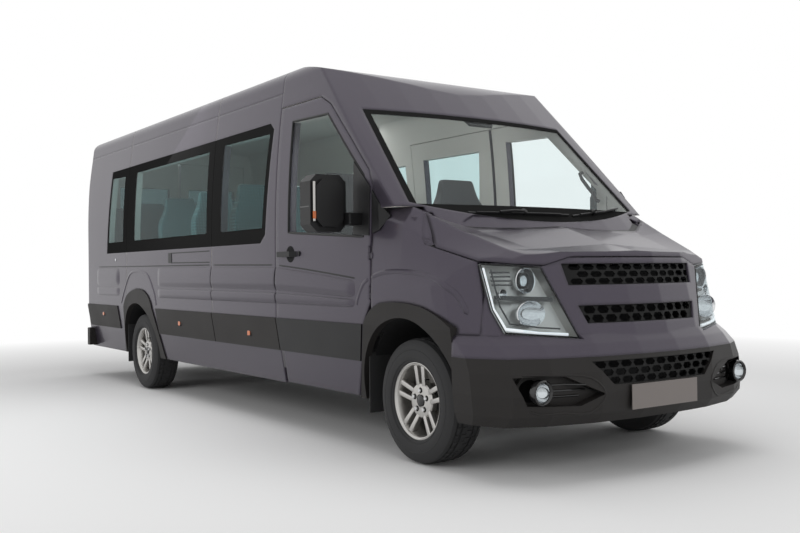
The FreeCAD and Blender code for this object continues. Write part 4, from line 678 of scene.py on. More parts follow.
def build_wheels(sizes):
    """Tyres, rims, nuts and discs for all four wheels, in place of the CAD ones."""
    for end, x in AXLES.items():
        for hand, side in SIDES.items():
            body = f"{end}_wheel_{hand}"
            rubber_ring = dress(tyre(f"{end}_tyre_{hand}_tread", x, side), "rubber", body)
            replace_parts(rubber_ring, f"{end}_tyre_{hand}")
            wheel, caps, nuts = rim(f"{end}_rim_{hand}_cast", x, side, sizes.spoke_pairs)
            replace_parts(dress(wheel, "alloy", body), f"{end}_rim_{hand}")
            dress(caps, "gloss_black", body, "black_plastic")
            dress(nuts, "chrome", body, "bright_lamp")
            dress(brake_disc(f"{end}_disc_{hand}", x, side), "disc", body, "steel")


# Laying trim on the painted surface


def surface_of(names):
    """The shown surface of some CAD nodes, for laying trim on it."""
    points, faces = [], []
    for name in names:
        mesh = bpy.data.objects[name].data
        start = len(points)
        points += [vertex.co.copy() for vertex in mesh.vertices]
        faces += [[start + i for i in face.vertices] for face in mesh.polygons]
    return BVHTree.FromPolygons(points, faces)


# Where rays start, clear of the mirrors, the nose and the back
RIGHT_OF_ALL, AHEAD_OF_ALL, BEHIND_ALL = -1.6, 3.8, -3.8
# A ray that gets this far in found an opening, so the nearest point to a place just outside is used.
SIDE_DEPTH, BACK_DEPTH = -0.80, -3.2
JUST_RIGHT, JUST_AHEAD, JUST_BEHIND = -1.1, 3.4, -3.5
# How far the ends of an open bead sink into the panel
END_SINK = 0.007


def on_side(surface, x, z, proud=0.0):
    """The point of the right side at x and z, so far proud of the surface."""
    spot = surface.ray_cast(Vector((x, RIGHT_OF_ALL, z)), Vector((0, 1, 0)))[0]
    if spot is None or spot.y > SIDE_DEPTH:
        near = surface.find_nearest(Vector((x, JUST_RIGHT, z)))[0]
        spot = Vector((x, near.y, z))
    return spot - Vector((0, proud, 0))


def on_front(surface, y, z, proud=0.0):
    """The point of the front at y and z, so far proud of the surface."""
    spot = surface.ray_cast(Vector((AHEAD_OF_ALL, y, z)), Vector((-1, 0, 0)))[0]
    if spot is None:
        near = surface.find_nearest(Vector((JUST_AHEAD, y, z)))[0]
        spot = Vector((near.x, y, z))
    return spot + Vector((proud, 0, 0))


def on_back(surface, y, z, proud=0.0):
    """The point of the back at y and z, so far proud of the surface."""
    spot = surface.ray_cast(Vector((BEHIND_ALL, y, z)), Vector((1, 0, 0)))[0]
    if spot is None or spot.x > BACK_DEPTH:
        near = surface.find_nearest(Vector((JUST_BEHIND, y, z)))[0]
        spot = Vector((near.x, y, z))
    return spot - Vector((proud, 0, 0))


def walked(corners, step=0.06):
    """Points at even steps along straight stretches between corners."""
    result = []
    for (u0, v0), (u1, v1) in zip(corners, corners[1:]):
        parts = max(1, round(math.hypot(u1 - u0, v1 - v0) / step))
        result += [(u0 + (u1 - u0) * i / parts, v0 + (v1 - v0) * i / parts) for i in range(parts)]
    return result + [corners[-1]]


def rounded(corners, parts=6):
    """A smooth curve through corners: a cubic for each stretch, which follows the slope of its neighbours."""
    ends = [corners[0]] + corners + [corners[-1]]
    result = []
    for before, start, stop, after in zip(ends, ends[1:], ends[2:], ends[3:]):
        for step in range(parts):
            t = step / parts
            weights = (-t + 2 * t * t - t ** 3, 2 - 5 * t * t + 3 * t ** 3, t + 4 * t * t - 3 * t ** 3,
                       -t * t + t ** 3)
            result.append(tuple(sum(w * p[i] for w, p in zip(weights, (before, start, stop, after))) / 2
                                for i in (0, 1)))
    return result + [corners[-1]]


def side_bead(name, surface, corners, radius, proud=0.0, closed=False):
    """A bead that follows the right side along x, z corners. An open one sinks into the panel at its ends."""
    line = walked(corners + corners[:1] if closed else corners)
    points = [on_side(surface, x, z, proud) for x, z in (line[:-1] if closed else line)]
    if not closed:
        points[0].y += END_SINK
        points[-1].y += END_SINK
    return bead(name, points, radius, closed)


def side_patch(name, surface, corners, depth, edge=0.0):
    """A thin plate on the right side with x, z corners, its back against the surface."""
    return panel(name, [on_side(surface, x, z, depth / 2 + 0.0005) for x, z in corners], depth, edge)


SIDE_NODES = ["side_wall_right", "cab_shell", "door_right", "wings", "side_mouldings", "door_right_trim",
              "front_bumper", "nose_panel", "side_windows", "door_right_glass", "tail_lamps", "rear_bumper"]
DOOR_WINDOW = [(1.183, 1.356), (2.127, 1.296), (2.127, 1.664), (1.970, 1.806), (1.653, 2.104), (1.183, 2.119)]
# Where the belt crease runs, from x and z. The black bead laid along it is painted shade: the crease's shadow.
BELT_LINE = [(-3.051, 1.164), (-2.032, 1.159), (-0.103, 1.152), (0.985, 1.140)]
DOOR_BELT_LINE = [(1.012, 1.139), (1.479, 1.101), (2.080, 1.043)]
REAR_ARCH_LINE = [(-2.300, 0.800), (-2.213, 0.921), (-2.046, 1.080), (-1.840, 1.114), (-1.594, 1.088),
                  (-1.491, 1.023), (-1.424, 0.948), (-1.385, 0.902), (-1.340, 0.800)]
WING_ARCH_LINE = [(2.206, 1.053), (2.309, 1.078), (2.450, 1.086), (2.620, 1.076), (2.800, 1.040), (2.940, 0.965),
                  (3.010, 0.860)]
DOOR_ARCH_LINE = [(2.047, 0.893), (2.063, 0.935), (2.119, 1.012), (2.172, 1.040)]
# The rail recess's edges, from x and z. The black beads laid along them are painted shade in the recess.
RAIL_SHADOW_LINE = [(-0.100, 1.264), (-1.010, 1.264), (-1.010, 1.180), (-0.100, 1.174)]
CAB_SEAM = [(2.226, 1.4625), (2.350, 1.4625), (2.470, 1.4625)]
SAIL_PLATE = [(2.222, 1.312), (2.292, 1.330), (2.372, 1.408), (2.300, 1.492), (2.228, 1.570)]
DOOR_CORNER_PLATE = [(2.014, 1.312), (2.198, 1.300), (2.205, 1.590), (2.014, 1.760)]
# The rail recess's deep end. The black plate laid on it is painted shade.
RAIL_END_SHADOW = [(-1.030, 1.178), (-0.955, 1.178), (-0.955, 1.266), (-1.030, 1.266)]
MARKERS = [(-2.875, 0.679), (-0.810, 0.659), (0.540, 0.643)]


def build_side_lines(sizes):
    """Black beads as painted shadows of the belt crease and of the rail recess's edges, painted arch lips, door
    window rubber and cab seam seal, on both sides.
    """
    side, door, wing = surface_of(SIDE_NODES), surface_of(["door_right"]), surface_of(["wings"])
    # Only the outer 2.5 mm of the belt line's black bead, a painted shadow of the crease, and 6 mm of the arch lips
    # stand out of the panel.
    belt_shadow_proud, lip_proud = 0.0025 - sizes.belt, 0.006 - sizes.arch_lip
    for name, surface, corners, radius, proud, finish, body, slot in (
        # The two belt beads are black: a painted shadow where the upper panel overhangs the lower.
        ("belt_crease_shadow", side, BELT_LINE, sizes.belt, belt_shadow_proud, "black", "body", "black_plastic"),
        ("door_belt_crease_shadow", side, rounded(DOOR_BELT_LINE), sizes.belt, belt_shadow_proud, "black", "front_door",
         "black_plastic"),
        ("rear_arch_line", side, rounded(REAR_ARCH_LINE), sizes.arch_lip, lip_proud, "paint", "body", "paint"),
        ("wing_arch_line", side, rounded(WING_ARCH_LINE), sizes.arch_lip, lip_proud, "paint", "body", "paint"),
        ("door_arch_line", side, rounded(DOOR_ARCH_LINE), sizes.arch_lip, lip_proud, "paint", "front_door", "paint"),
        ("door_gasket", door, DOOR_WINDOW, sizes.gasket, -0.004, "black", "front_door", "black_plastic"),
        # The rail's beads are painted shade along the recess's edges.
        ("rail_recess_shadow", side, RAIL_SHADOW_LINE, 0.006, -0.003, "black", "body", "black_plastic"),
        ("cab_seam_seal", wing, CAB_SEAM, 0.0045, -0.003, "rubber", "body", "tyre"),
    ):
        closed = name == "door_gasket"
        dress_pair(side_bead(name, surface, corners, radius, proud, closed), finish, body, slot)


def build_side_plates():
    """Black plates at the door's glass, a black plate painted as shade at the rail recess's end, handle dish, filler
    stud and key lock, on both sides.
    """
    side = surface_of(SIDE_NODES)
    for name, corners, depth, edge, body in (
        ("sail_plate", SAIL_PLATE, 0.012, 0.003, "body"),
        ("door_corner_plate", DOOR_CORNER_PLATE, 0.008, 0.002, "front_door"),
        # This plate is painted shade at the rail recess's end.
        ("rail_end_shadow", RAIL_END_SHADOW, 0.003, 0.001, "body"),
    ):
        dress_pair(side_patch(name, side, corners, depth, edge), "black", body, "black_plastic")
    # The dish is behind the handle, as deep as the panel is 54 mm below its middle.
    dish_place = on_side(side, 1.212, 1.156) + Vector((0, 0, 0.054))
    for name, place, radius, depth, sides, edge, finish, body, slot in (
        ("handle_dish", dish_place, 0.056, 0.005, 40, 0.002, "liner", "front_door", "black_plastic"),
        ("filler_stud", on_side(side, -2.458, 1.229, 0.002), 0.013, 0.006, 24, 0.001, "chrome", "body",
         "bright_lamp"),
        ("door_key_lock", on_side(side, 1.335, 1.212, 0.003), 0.016, 0.012, 24, 0.003, "black", "front_door",
         "black_plastic"),
    ):
        dress_pair(disc(name, place, radius, depth, (0, -1, 0), sides, edge), finish, body, slot)


def build_side_markers():
    """Amber marker lamps in black bezels along both sides."""
    side = surface_of(SIDE_NODES)
    for index, (x, z) in enumerate(MARKERS):
        spot = on_side(side, x, z)
        bezel = block(f"marker_bezel_{index}", spot - Vector((0.028, 0.004, 0.023)),
                      spot + Vector((0.028, 0.004, 0.023)), 0.004)
        lens = block(f"marker_lens_{index}", spot - Vector((0.022, 0.007, 0.017)),
                     spot + Vector((0.022, 0.003, 0.017)), 0.003)
        dress_pair(bezel, "black", "body", "black_plastic")
        dress_pair(lens, "orange", "body", "red_lens")


def build_mud_flaps():
    """Rubber flaps behind the four wheels."""
    for end, x, low in (("rear", -2.262, 0.225), ("front", 2.098, 0.235)):
        flap = block(f"{end}_mud_flap", (x - 0.004, -0.985, low), (x + 0.004, -0.775, 0.600), 0.003)
        dress_pair(flap, "rubber", "body", "tyre")


# The pressed bands' section under the belt line: height as a share from their foot to the belt, and depth as a share
SWAGE = [(1.00, 0.0), (0.93, 0.35), (0.80, 0.75), (0.64, 1.0), (0.52, 0.90), (0.43, 0.45), (0.355, 0.05),
         (0.31, 0.10), (0.265, 0.62), (0.20, 0.72), (0.10, 0.55), (0.0, 0.0)]
SWAGE_FOOT, SWAGE_BELOW_BELT, SWAGE_DEPTH, SWAGE_RUN_OUT, SWAGE_COLUMN = 0.866, 0.010, 0.015, 0.070, 0.03
# The sheet is 3 mm thick and its edges lie half of that inside the skin.
SHEET = 0.003


def swage(name, surface, start, stop, belt, soft_start, soft_stop):
    """The side panel's two pressed bands from one x to another, running out softly where asked."""
    columns = max(4, round((stop - start) / SWAGE_COLUMN))
    rows = rounded(SWAGE, 3)
    deselect()
    bpy.ops.mesh.primitive_grid_add(x_subdivisions=columns, y_subdivisions=len(rows) - 1)
    sheet = bpy.context.object
    for vertex in sheet.data.vertices:
        x = start + (stop - start) * (vertex.co.x + 1) / 2
        share, level = rows[round((1 - vertex.co.y) / 2 * (len(rows) - 1))]
        z = SWAGE_FOOT + (between(x, belt) - SWAGE_BELOW_BELT - SWAGE_FOOT) * share
        ends = [(x - start) / SWAGE_RUN_OUT] * soft_start + [(stop - x) / SWAGE_RUN_OUT] * soft_stop
        fade = min([1.0] + ends)
        fade = fade * fade * (3 - 2 * fade)
        vertex.co = on_side(surface, x, z, SWAGE_DEPTH * level * fade - SHEET / 2)
    return smooth(settle(facing_out(thickened(sheet, SHEET)), name), 50)


# The tongue's rows from its top down, and the places along each row where the skin is felt for
TONGUE_TOP, TONGUE_ROW, TONGUE_ROWS = 1.402, 0.0175, 11
FEELER_START, FEELER_STEP, FEELERS = 2.540, 0.002, 110
# Skin further in than this isn't the wing's or the bonnet's side, and a narrower wedge is only their seam.
WING_SKIN, LEAST_WEDGE, GAP_BEFORE_BONNET = -0.86, 0.009, 0.007


def wing_tongue(surface):
    """The wing's tongue that fills the wedge before the bonnet's side edge, 7 mm short of it."""
    rows = []
    for step in range(TONGUE_ROWS):
        z = TONGUE_TOP - TONGUE_ROW * step
        skin = []
        for feeler in range(FEELERS):
            x = FEELER_START + FEELER_STEP * feeler
            hit = surface.ray_cast(Vector((x, RIGHT_OF_ALL, z)), Vector((0, 1, 0)))[0]
            skin.append((x, hit.y if hit and hit.y < WING_SKIN else None))
        holes = [i for i, (_, y) in enumerate(skin) if y is None]
        if not holes or holes[0] == 0:
            continue
        first = holes[0]
        after = [i for i in range(first, len(skin)) if skin[i][1] is not None]
        if not after or skin[after[0]][0] - skin[first][0] < LEAST_WEDGE:
            continue
        bonnet_x, bonnet_y = skin[after[0]]
        rows.append((Vector((skin[first - 1][0] - 0.004, skin[first - 2][1] + 0.0015, z)),
                     Vector((bonnet_x - GAP_BEFORE_BONNET, bonnet_y + 0.001, z))))
    if len(rows) < 2:
        raise RuntimeError("The wedge between the wing and the bonnet wasn't found.")
    deselect()
    bpy.ops.mesh.primitive_grid_add(x_subdivisions=1, y_subdivisions=len(rows) - 1)
    tongue = bpy.context.object
    for vertex in tongue.data.vertices:
        row = rows[round((vertex.co.y + 1) / 2 * (len(rows) - 1))]
        vertex.co = row[1] if vertex.co.x > 0 else row[0]
    return smooth(settle(thickened(tongue, 0.002), "wing_tongue"))


def build_pressed_bands():
    """The bands pressed into both sides under the belt line, and the tongues of the wings."""
    dress_pair(wing_tongue(surface_of(["wings", "bonnet"])), "paint", "body", "paint")
    skin = surface_of(["side_wall_right", "cab_shell", "door_right"])
    for name, start, stop, belt, soft_start, soft_stop, body in (
        ("tail_swage", -3.080, -2.340, BELT_LINE, True, True, "body"),
        ("middle_swage", -1.310, -0.108, BELT_LINE, True, False, "body"),
        ("step_swage", -0.098, 0.989, BELT_LINE, False, False, "body"),
        ("door_swage", 1.003, 2.035, DOOR_BELT_LINE, False, True, "front_door"),
    ):
        dress_pair(swage(name, skin, start, stop, belt, soft_start, soft_stop), "paint", body, "paint")


def build_mirrors():
    """Mirror glasses, lamp strips, turn lamps, hood lines and feet on both mirror heads."""
    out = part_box("door_right_trim")[0][1]
    for name, low, high, edge, finish, slot in (
        ("mirror_glass", (1.9112, out + 0.022, 1.345), (1.9155, out + 0.222, 1.645), 0.002, "mirror", "bright_lamp"),
        ("mirror_lamp_strip", (2.0560, out + 0.012, 1.385), (2.0640, out + 0.028, 1.620), 0.003, "alloy",
         "bright_lamp"),
        ("mirror_turn_lamp", (2.0580, out + 0.010, 1.400), (2.0655, out + 0.030, 1.445), 0.002, "orange",
         "red_lens"),
        ("mirror_hood_line", (1.9180, out - 0.0005, 1.470), (2.0360, out + 0.004, 1.478), 0.001, "gloss_black",
         "black_plastic"),
        ("mirror_foot", (2.030, out + 0.225, 1.365), (2.118, out + 0.318, 1.440), 0.008, "black", "black_plastic"),
    ):
        dress_pair(block(name, low, high, edge), finish, "front_door", slot)


# Lamps, nose and windscreen


LAMP_OUTLINE = [(-0.906, 1.118), (-0.890, 0.882), (-0.855, 0.763), (-0.499, 0.732), (-0.638, 1.097)]


def lathe_turned(name, profile, place, sides=40, wide=1.0):
    """A spun form about a line along X, opening forwards, its width stretched."""
    piece = ring_of(profile, sides, (0, 0, 0), name)
    piece.rotation_euler = (0, 0, -math.pi / 2)
    piece.scale = (wide, 1, 1)
    piece.location = place
    return smooth(facing_out(settle(piece, name)), 35)


def lamp_tub(surface):
    """The open housing behind the headlamp's lens."""
    deselect()
    bpy.ops.mesh.primitive_circle_add(vertices=len(LAMP_OUTLINE), radius=1)
    tub = bpy.context.object
    for vertex, (y, z) in zip(tub.data.vertices, LAMP_OUTLINE):
        vertex.co = on_front(surface, y, z, -0.009)
    bpy.ops.object.mode_set(mode="EDIT")
    bpy.ops.mesh.select_all(action="SELECT")
    bpy.ops.mesh.extrude_edges_move(TRANSFORM_OT_translate={"value": (-0.075, 0.010, 0)})
    bpy.ops.mesh.edge_face_add()
    bpy.ops.object.mode_set(mode="OBJECT")
    return settle(thickened(tub, 0.003), "headlamp_tub")


# Profiles of spun lamp parts: the distance forwards, and the radius
BOWL = [(-0.052, 0.0), (-0.050, 0.020), (-0.038, 0.042), (-0.012, 0.058), (0.006, 0.064), (0.010, 0.067),
        (0.006, 0.069), (-0.016, 0.062), (-0.044, 0.045), (-0.056, 0.0)]
DOME = [(0.020, 0.0), (0.018, 0.012), (0.010, 0.024), (-0.004, 0.031), (-0.010, 0.033), (-0.014, 0.033)]
PROJECTOR_RING = [(-0.020, 0.034), (0.004, 0.036), (0.008, 0.040), (0.004, 0.044), (-0.024, 0.044), (-0.020, 0.034)]
FOG_RIM = [(0.0, 0.046), (0.012, 0.050), (0.018, 0.057), (0.012, 0.064), (-0.02, 0.066), (-0.02, 0.046),
           (0.0, 0.046)]
FOG_BOWL = [(-0.036, 0.0), (-0.030, 0.024), (-0.012, 0.040), (0.002, 0.046), (-0.002, 0.048), (-0.040, 0.028),
            (-0.044, 0.0)]
FOG_GLASS = [(0.012, 0.0), (0.011, 0.020), (0.007, 0.038), (0.001, 0.046), (-0.003, 0.046)]
# Lines across the headlamp, from y and z
GUIDE_LINE = [(-0.893, 1.098), (-0.880, 0.884), (-0.846, 0.780), (-0.700, 0.757), (-0.545, 0.746)]
GUIDE_EDGE = [(-0.862, 1.090), (-0.852, 0.900), (-0.825, 0.808), (-0.690, 0.787), (-0.580, 0.778)]
# The band round the fog lamp's opening, from y and z
FOG_SURROUND = [(-0.872, 0.556), (-0.690, 0.553), (-0.515, 0.531), (-0.430, 0.441), (-0.520, 0.353),
                (-0.680, 0.362), (-0.842, 0.374)]


def build_headlamps():
    """Tub, three reflectors with a projector lens, light guide, bezels and rubber rim behind each lens."""
    surface = surface_of(["lamp_lenses"])
    tub = lamp_tub(surface)
    upper = on_front(surface, -0.715, 1.030, -0.030)
    lower = on_front(surface, -0.715, 0.858, -0.032)
    beside = on_front(surface, -0.830, 0.960, -0.024)
    bowls = [lathe_turned("upper_bowl", BOWL, upper), lathe_turned("lower_bowl", BOWL, lower, wide=1.45),
             lathe_turned("side_bowl", [(a * 0.5, r * 0.4) for a, r in BOWL], beside, 32)]
    bezels = []
    for step in range(4):
        top = 1.078 - 0.022 * step
        corners = [(-0.868, top), (-0.790, top), (-0.790, top - 0.008), (-0.868, top - 0.008)]
        bezels.append(panel("lamp_fin", [on_front(surface, y, z, -0.020) for y, z in corners], 0.010))
    bezels.append(lathe_turned("projector_ring", PROJECTOR_RING, upper))
    for top, foot in ((0.953, 0.938), (0.945, 0.930)):
        corners = [(-0.868, top), (-0.590, top - 0.012), (-0.596, foot - 0.012), (-0.868, foot)]
        bezels.append(panel("lamp_shelf", [on_front(surface, y, z, -0.016) for y, z in corners], 0.014))
    projector = lathe_turned("projector_lens", DOME, upper)
    guide = bead("light_guide", [on_front(surface, y, z, -0.015) for y, z in walked(GUIDE_LINE, 0.03)], 0.010)
    bezels.append(bead("guide_edge", [on_front(surface, y, z, -0.017) for y, z in walked(GUIDE_EDGE, 0.03)], 0.0045))
    around = walked(LAMP_OUTLINE + LAMP_OUTLINE[:1], 0.05)[:-1]
    lens_rim = bead("lens_rim", [on_front(surface, y * 0.999, z, -0.0015) for y, z in around], 0.0035, True)
    for name, parts, finish, slot in (
        ("headlamp_tub", [tub], "alloy", "black_plastic"),
        ("headlamp_bowls", bowls, "chrome", "bright_lamp"),
        ("headlamp_bezels", bezels, "gloss_black", "black_plastic"),
        ("headlamp_projectors", [projector], "lens", "black_plastic"),
        ("headlamp_guides", [guide], "light_guide", "bright_lamp"),
        ("headlamp_rims", [lens_rim], "black", "black_plastic"),
    ):
        pair = dress(both_sides(name, parts), finish, "body", slot)
        if name == "headlamp_tub":
            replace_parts(pair, "lamp_housings")


def build_fog_lamps():
    """Rim, reflector, glass, fins and surround of the fog lamps, on both sides."""
    bumper = surface_of(["front_bumper", "nose_panel", "grille"])
    middle = Vector((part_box("fog_lamps")[1][0], -0.800, 0.470))
    ring = lathe_turned("fog_rim", FOG_RIM, middle)
    bowl = lathe_turned("fog_bowl", FOG_BOWL, middle + Vector((0.003, 0, 0)))
    glass = lathe_turned("fog_glass", FOG_GLASS, middle)
    fins = []
    for z in (0.440, 0.470, 0.500):
        near, far = -0.715, -0.520 - abs(z - 0.470) * 1.2
        points = [on_front(bumper, y, z, -0.002) for y in (near, (near + far) / 2, far)]
        fins.append(bead("fog_fin", [point + Vector((0.010, 0, 0)) for point in points], 0.0045))
    outline = walked(rounded(FOG_SURROUND + FOG_SURROUND[:1], 3)[:-1], 0.04)
    surround = bead("fog_surround", [on_front(bumper, y, z, -0.004) for y, z in outline], 0.008, True)
    for name, parts, finish, slot in (
        ("fog_surrounds", [surround], "cladding", "cladding"),
        ("fog_rims", [ring], "gloss_black", "black_plastic"),
        ("fog_bowls", [bowl], "chrome", "bright_lamp"),
        ("fog_glasses", [glass], "lens", "lens"),
        ("fog_fins", fins, "gloss_black", "black_plastic"),
    ):
        pair = dress(both_sides(name, parts), finish, "body", slot)
        if name == "fog_rims":
            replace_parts(pair, "fog_lamps")


def build_number_plate():
    """The blank plate on the front bumper."""
    plate = block("number_plate_blank", (3.506, -0.265, 0.350), (3.512, 0.265, 0.482), 0.0015)
    dress(plate, "plate", "body", "cladding")


def build_radiator():
    """Radiator core with its fins, shroud and fog lamp guards, dark behind the meshes."""
    core = block("radiator_core", (3.165, -0.500, 0.505), (3.195, 0.500, 1.105), 0.004)
    shroud = block("radiator_shroud", (3.262, -0.730, 0.320), (3.278, 0.730, 0.700), 0.006)
    guards = [block("fog_guard", (3.200, left, 0.300), (3.214, right, 0.620), 0.004)
              for left, right in ((-0.880, -0.500), (0.500, 0.880))]
    fins = [block("radiator_fin", (3.193, -0.500, z - 0.002), (3.199, 0.500, z + 0.002))
            for z in [0.52 + 0.02 * i for i in range(29)]]
    dress(joined("radiator", [core, shroud] + guards + fins), "liner", "body", "black_plastic")


def build_wipers():
    """Windscreen wipers: pivots, arms and blades with their spines."""
    glass = surface_of(["windscreen"])
    arms, blades = [], []
    for pivot, blade in (((-0.206, 1.436), [(-0.640, 1.424), (0.170, 1.428)]),
                         ((0.425, 1.452), [(0.200, 1.424), (0.560, 1.462), (0.775, 1.496)])):
        heel = on_front(glass, *pivot, 0.014)
        arms.append(disc("wiper_pivot", heel, 0.019, 0.034, (0.7, 0, 0.7), 24, 0.004))
        line = [on_front(glass, y, z, 0.010) for y, z in walked(blade, 0.08)]
        blades.append(bead("wiper_blade", line, 0.006))
        blades.append(bead("wiper_spine", [point + Vector((0.010, 0, 0.004)) for point in line[1:-1]], 0.005))
        tip = line[len(line) // 3] + Vector((0.014, 0, 0.008))
        bend = heel.lerp(tip, 0.5) + Vector((0.016, 0, 0.008))
        arms.append(bead("wiper_arm", [heel + Vector((0.012, 0, 0.006)), bend, tip], 0.008))
    dress(joined("wipers", arms + blades), "black", "body", "black_plastic")


# The grab handle's line beside the windscreen, from x and z
GRAB_LINE = [(2.02, 1.78), (2.045, 1.735), (2.10, 1.675), (2.155, 1.620), (2.175, 1.580)]


def build_cab_fittings():
    """The sensor pod behind the windscreen and the grab handle on its pillar."""
    glass = surface_of(["windscreen"])
    corners = [(-0.10, 2.105), (0.14, 2.105), (0.12, 2.060), (-0.08, 2.060)]
    pod = panel("sensor_pod", [on_front(glass, y, z, -0.022) for y, z in corners], 0.020, 0.004)
    dress(pod, "black", "body", "black_plastic")
    grip = [Vector((x, 0.905, z)) for x, z in GRAB_LINE]
    grip = [grip[0] + Vector((0.012, 0.02, 0.012))] + grip + [grip[-1] + Vector((0.012, 0.02, -0.012))]
    dress(bead("grab_handle", grip, 0.013), "trim", "body", "trim_plastic")


# Seats


FIRST_ROW_X, SEAT_PITCH, ROWS = 0.330, 0.790, 5
ROW_SEATS, ROW_GRIPS = (-0.705, -0.255, 0.705), (-0.480, 0.480)
CAB_SEAT_X, CAB_SEATS, CAB_PAD_WIDTH = 1.400, (-0.520, 0.520), 0.496


def soft_form(name, shape, cuts=7):
    """A stuffed form: a divided block whose points a shape function moves to their place, then rounded."""
    deselect()
    bpy.ops.mesh.primitive_cube_add(size=2)
    piece = bpy.context.object
    bpy.ops.object.mode_set(mode="EDIT")
    bpy.ops.mesh.select_all(action="SELECT")
    bpy.ops.mesh.subdivide(number_cuts=cuts)
    bpy.ops.object.mode_set(mode="OBJECT")
    for vertex in piece.data.vertices:
        vertex.co = shape(*vertex.co)
    settle(piece, name)
    rounding = piece.modifiers.new("rounding", "SUBSURF")
    rounding.levels = rounding.render_levels = 1
    bpy.ops.object.modifier_apply(modifier="rounding")
    return smooth(piece, 180)


def channel(across, count):
    """How deep a sewn channel is at a place across a pad: 1 in the seam and 0 between seams."""
    place = (across + 1) / 2 * count
    return max(0.0, 1 - abs(place - round(place)) * 7) if 0 < round(place) < count else 0.0


def squab(name, x, y, width):
    """The seat's cushion: crowned, with raised sides and a rolled front edge."""
    def shape(u, v, w):
        """The place of a point from its shares forwards, across and up, each from -1 to 1."""
        crown = 0.016 * (1 - v * v) * (1 - u * u)
        bolster = 0.012 * max(0.0, abs(v) - 0.62) / 0.38
        half = width / 2 * (1 - 0.03 * u * u)
        z = between(w, [(-1, 0.996), (1, 1.093)]) + (crown + bolster - 0.005 * channel(v, 4) if w > 0 else 0)
        z -= 0.018 * max(0.0, u - 0.6) / 0.4 if w > 0 else 0
        return Vector((x + 0.050 + u * 0.212, y + v * half, z))
    return soft_form(name, shape)


# The backrest's front and rear faces: height, and x from the seat's own middle
FRONT_LINE = [(1.000, -0.176), (1.105, -0.172), (1.640, -0.262), (1.800, -0.303)]
REAR_LINE = [(1.000, -0.283), (1.640, -0.391), (1.800, -0.373)]


def backrest(name, x, y, width):
    """The backrest with its built-in headrest: side bolsters, sewn channels and a waist below the head."""
    def shape(u, v, w):
        """The place of a point from its shares forwards, across and up, each from -1 to 1."""
        height = 1.006 + (w + 1) / 2 * 0.790
        front, rear = between(height, FRONT_LINE), between(height, REAR_LINE)
        head = max(0.0, min(1.0, (height - 1.600) / 0.050))
        half = width / 2 * (1 - 0.34 * head) * (1 - 0.04 * max(0.0, (height - 1.74) / 0.056))
        pad = 0.010 * (1 - v * v) - 0.006 * (channel(v, 4) if height < 1.58 else 0)
        bolster = 0.014 * max(0.0, abs(v) - 0.60) / 0.40 * (1 - head)
        waist = -0.012 * math.exp(-((height - 1.605) / 0.022) ** 2)
        depth = front - 0.020 + pad + bolster + waist if u > 0 else rear + 0.010 - waist * 0.5
        return Vector((x + (front + rear) / 2 + (depth - (front + rear) / 2) * abs(u), y + v * half, height))
    return soft_form(name, shape, 9)


def build_passenger_seats(sizes):
    """Passenger seats as sewn, stuffed forms, in place of the plain CAD ones, with grips on their backs."""
    pads, grips = [], []
    for row in range(ROWS):
        x = FIRST_ROW_X - row * SEAT_PITCH
        for y in ROW_SEATS:
            pads += [squab("squab", x, y, sizes.pad_width), backrest("backrest", x, y, sizes.pad_width)]
        for y in ROW_GRIPS:
            grips.append(bead("seat_grip", [Vector((x - 0.300, y - 0.02, 1.63)), Vector((x - 0.335, y, 1.665)),
                                            Vector((x - 0.375, y + 0.02, 1.63))], 0.009))
    seats = dress(joined("passenger_seat_pads", pads), "cloth", "body", "seat_cloth")
    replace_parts(seats, "passenger_seats")
    dress(joined("seat_grips", grips), "black", "body", "black_plastic")


def build_cab_seats():
    """Cab seats as sewn, stuffed forms on moulded plinths, in place of the plain CAD ones."""
    pads = []
    for y in CAB_SEATS:
        pads += [squab("cab_squab", CAB_SEAT_X, y, CAB_PAD_WIDTH),
                 backrest("cab_backrest", CAB_SEAT_X, y, CAB_PAD_WIDTH)]
    seats = dress(joined("cab_seat_pads", pads), "cab_cloth", "body", "seat_cloth")
    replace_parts(seats, "cab_seats")
    plinths = [block("seat_plinth", (1.240, y - 0.176, 0.692), (1.586, y + 0.176, 0.988), 0.012) for y in CAB_SEATS]
    dress(joined("cab_seat_plinths", plinths), "trim", "body", "trim_plastic")


# Rear

# The window of the left rear door, from y and z
REAR_WINDOW = [(0.109, 1.339), (0.686, 1.339), (0.686, 2.056), (0.109, 2.056)]


def build_rear(sizes):
    """Rear door handle, window gaskets and the high brake lamp."""
    back = surface_of(["rear_door_right", "rear_door_left", "roof", "side_wall_right", "side_wall_left"])
    grip = on_back(back, -0.075, 1.12)
    handle = block("rear_handle", grip - Vector((0.004, 0.040, 0.018)), grip + Vector((0.010, 0.034, 0.018)), 0.006)
    dress(handle, "black", "back_door_right", "black_plastic")
    for hand, sign in SIDES.items():
        around = walked([(sign * y, z) for y, z in REAR_WINDOW + REAR_WINDOW[:1]])[:-1]
        gasket = bead(f"rear_gasket_{hand}", [on_back(back, y, z, -0.004) for y, z in around], sizes.gasket, True)
        dress(gasket, "black", f"back_door_{hand}", "black_plastic")
    spot = on_back(back, 0.0, 2.400)
    lamp = block("high_brake_lamp", spot - Vector((0.001, 0.130, 0.012)), spot + Vector((0.020, 0.130, 0.012)), 0.003)
    dress(lamp, "red", "body", "red_lens")


# Stage

# The floor lies 1 mm under the tyres and turns white between two distances from the middle.
FLOOR_WIDTH, FLOOR_LEVEL, FLOOR_FADE_START, FLOOR_FADE_END = 80, -0.001, 4.5, 9.0
WORLD_LIGHT = 0.40
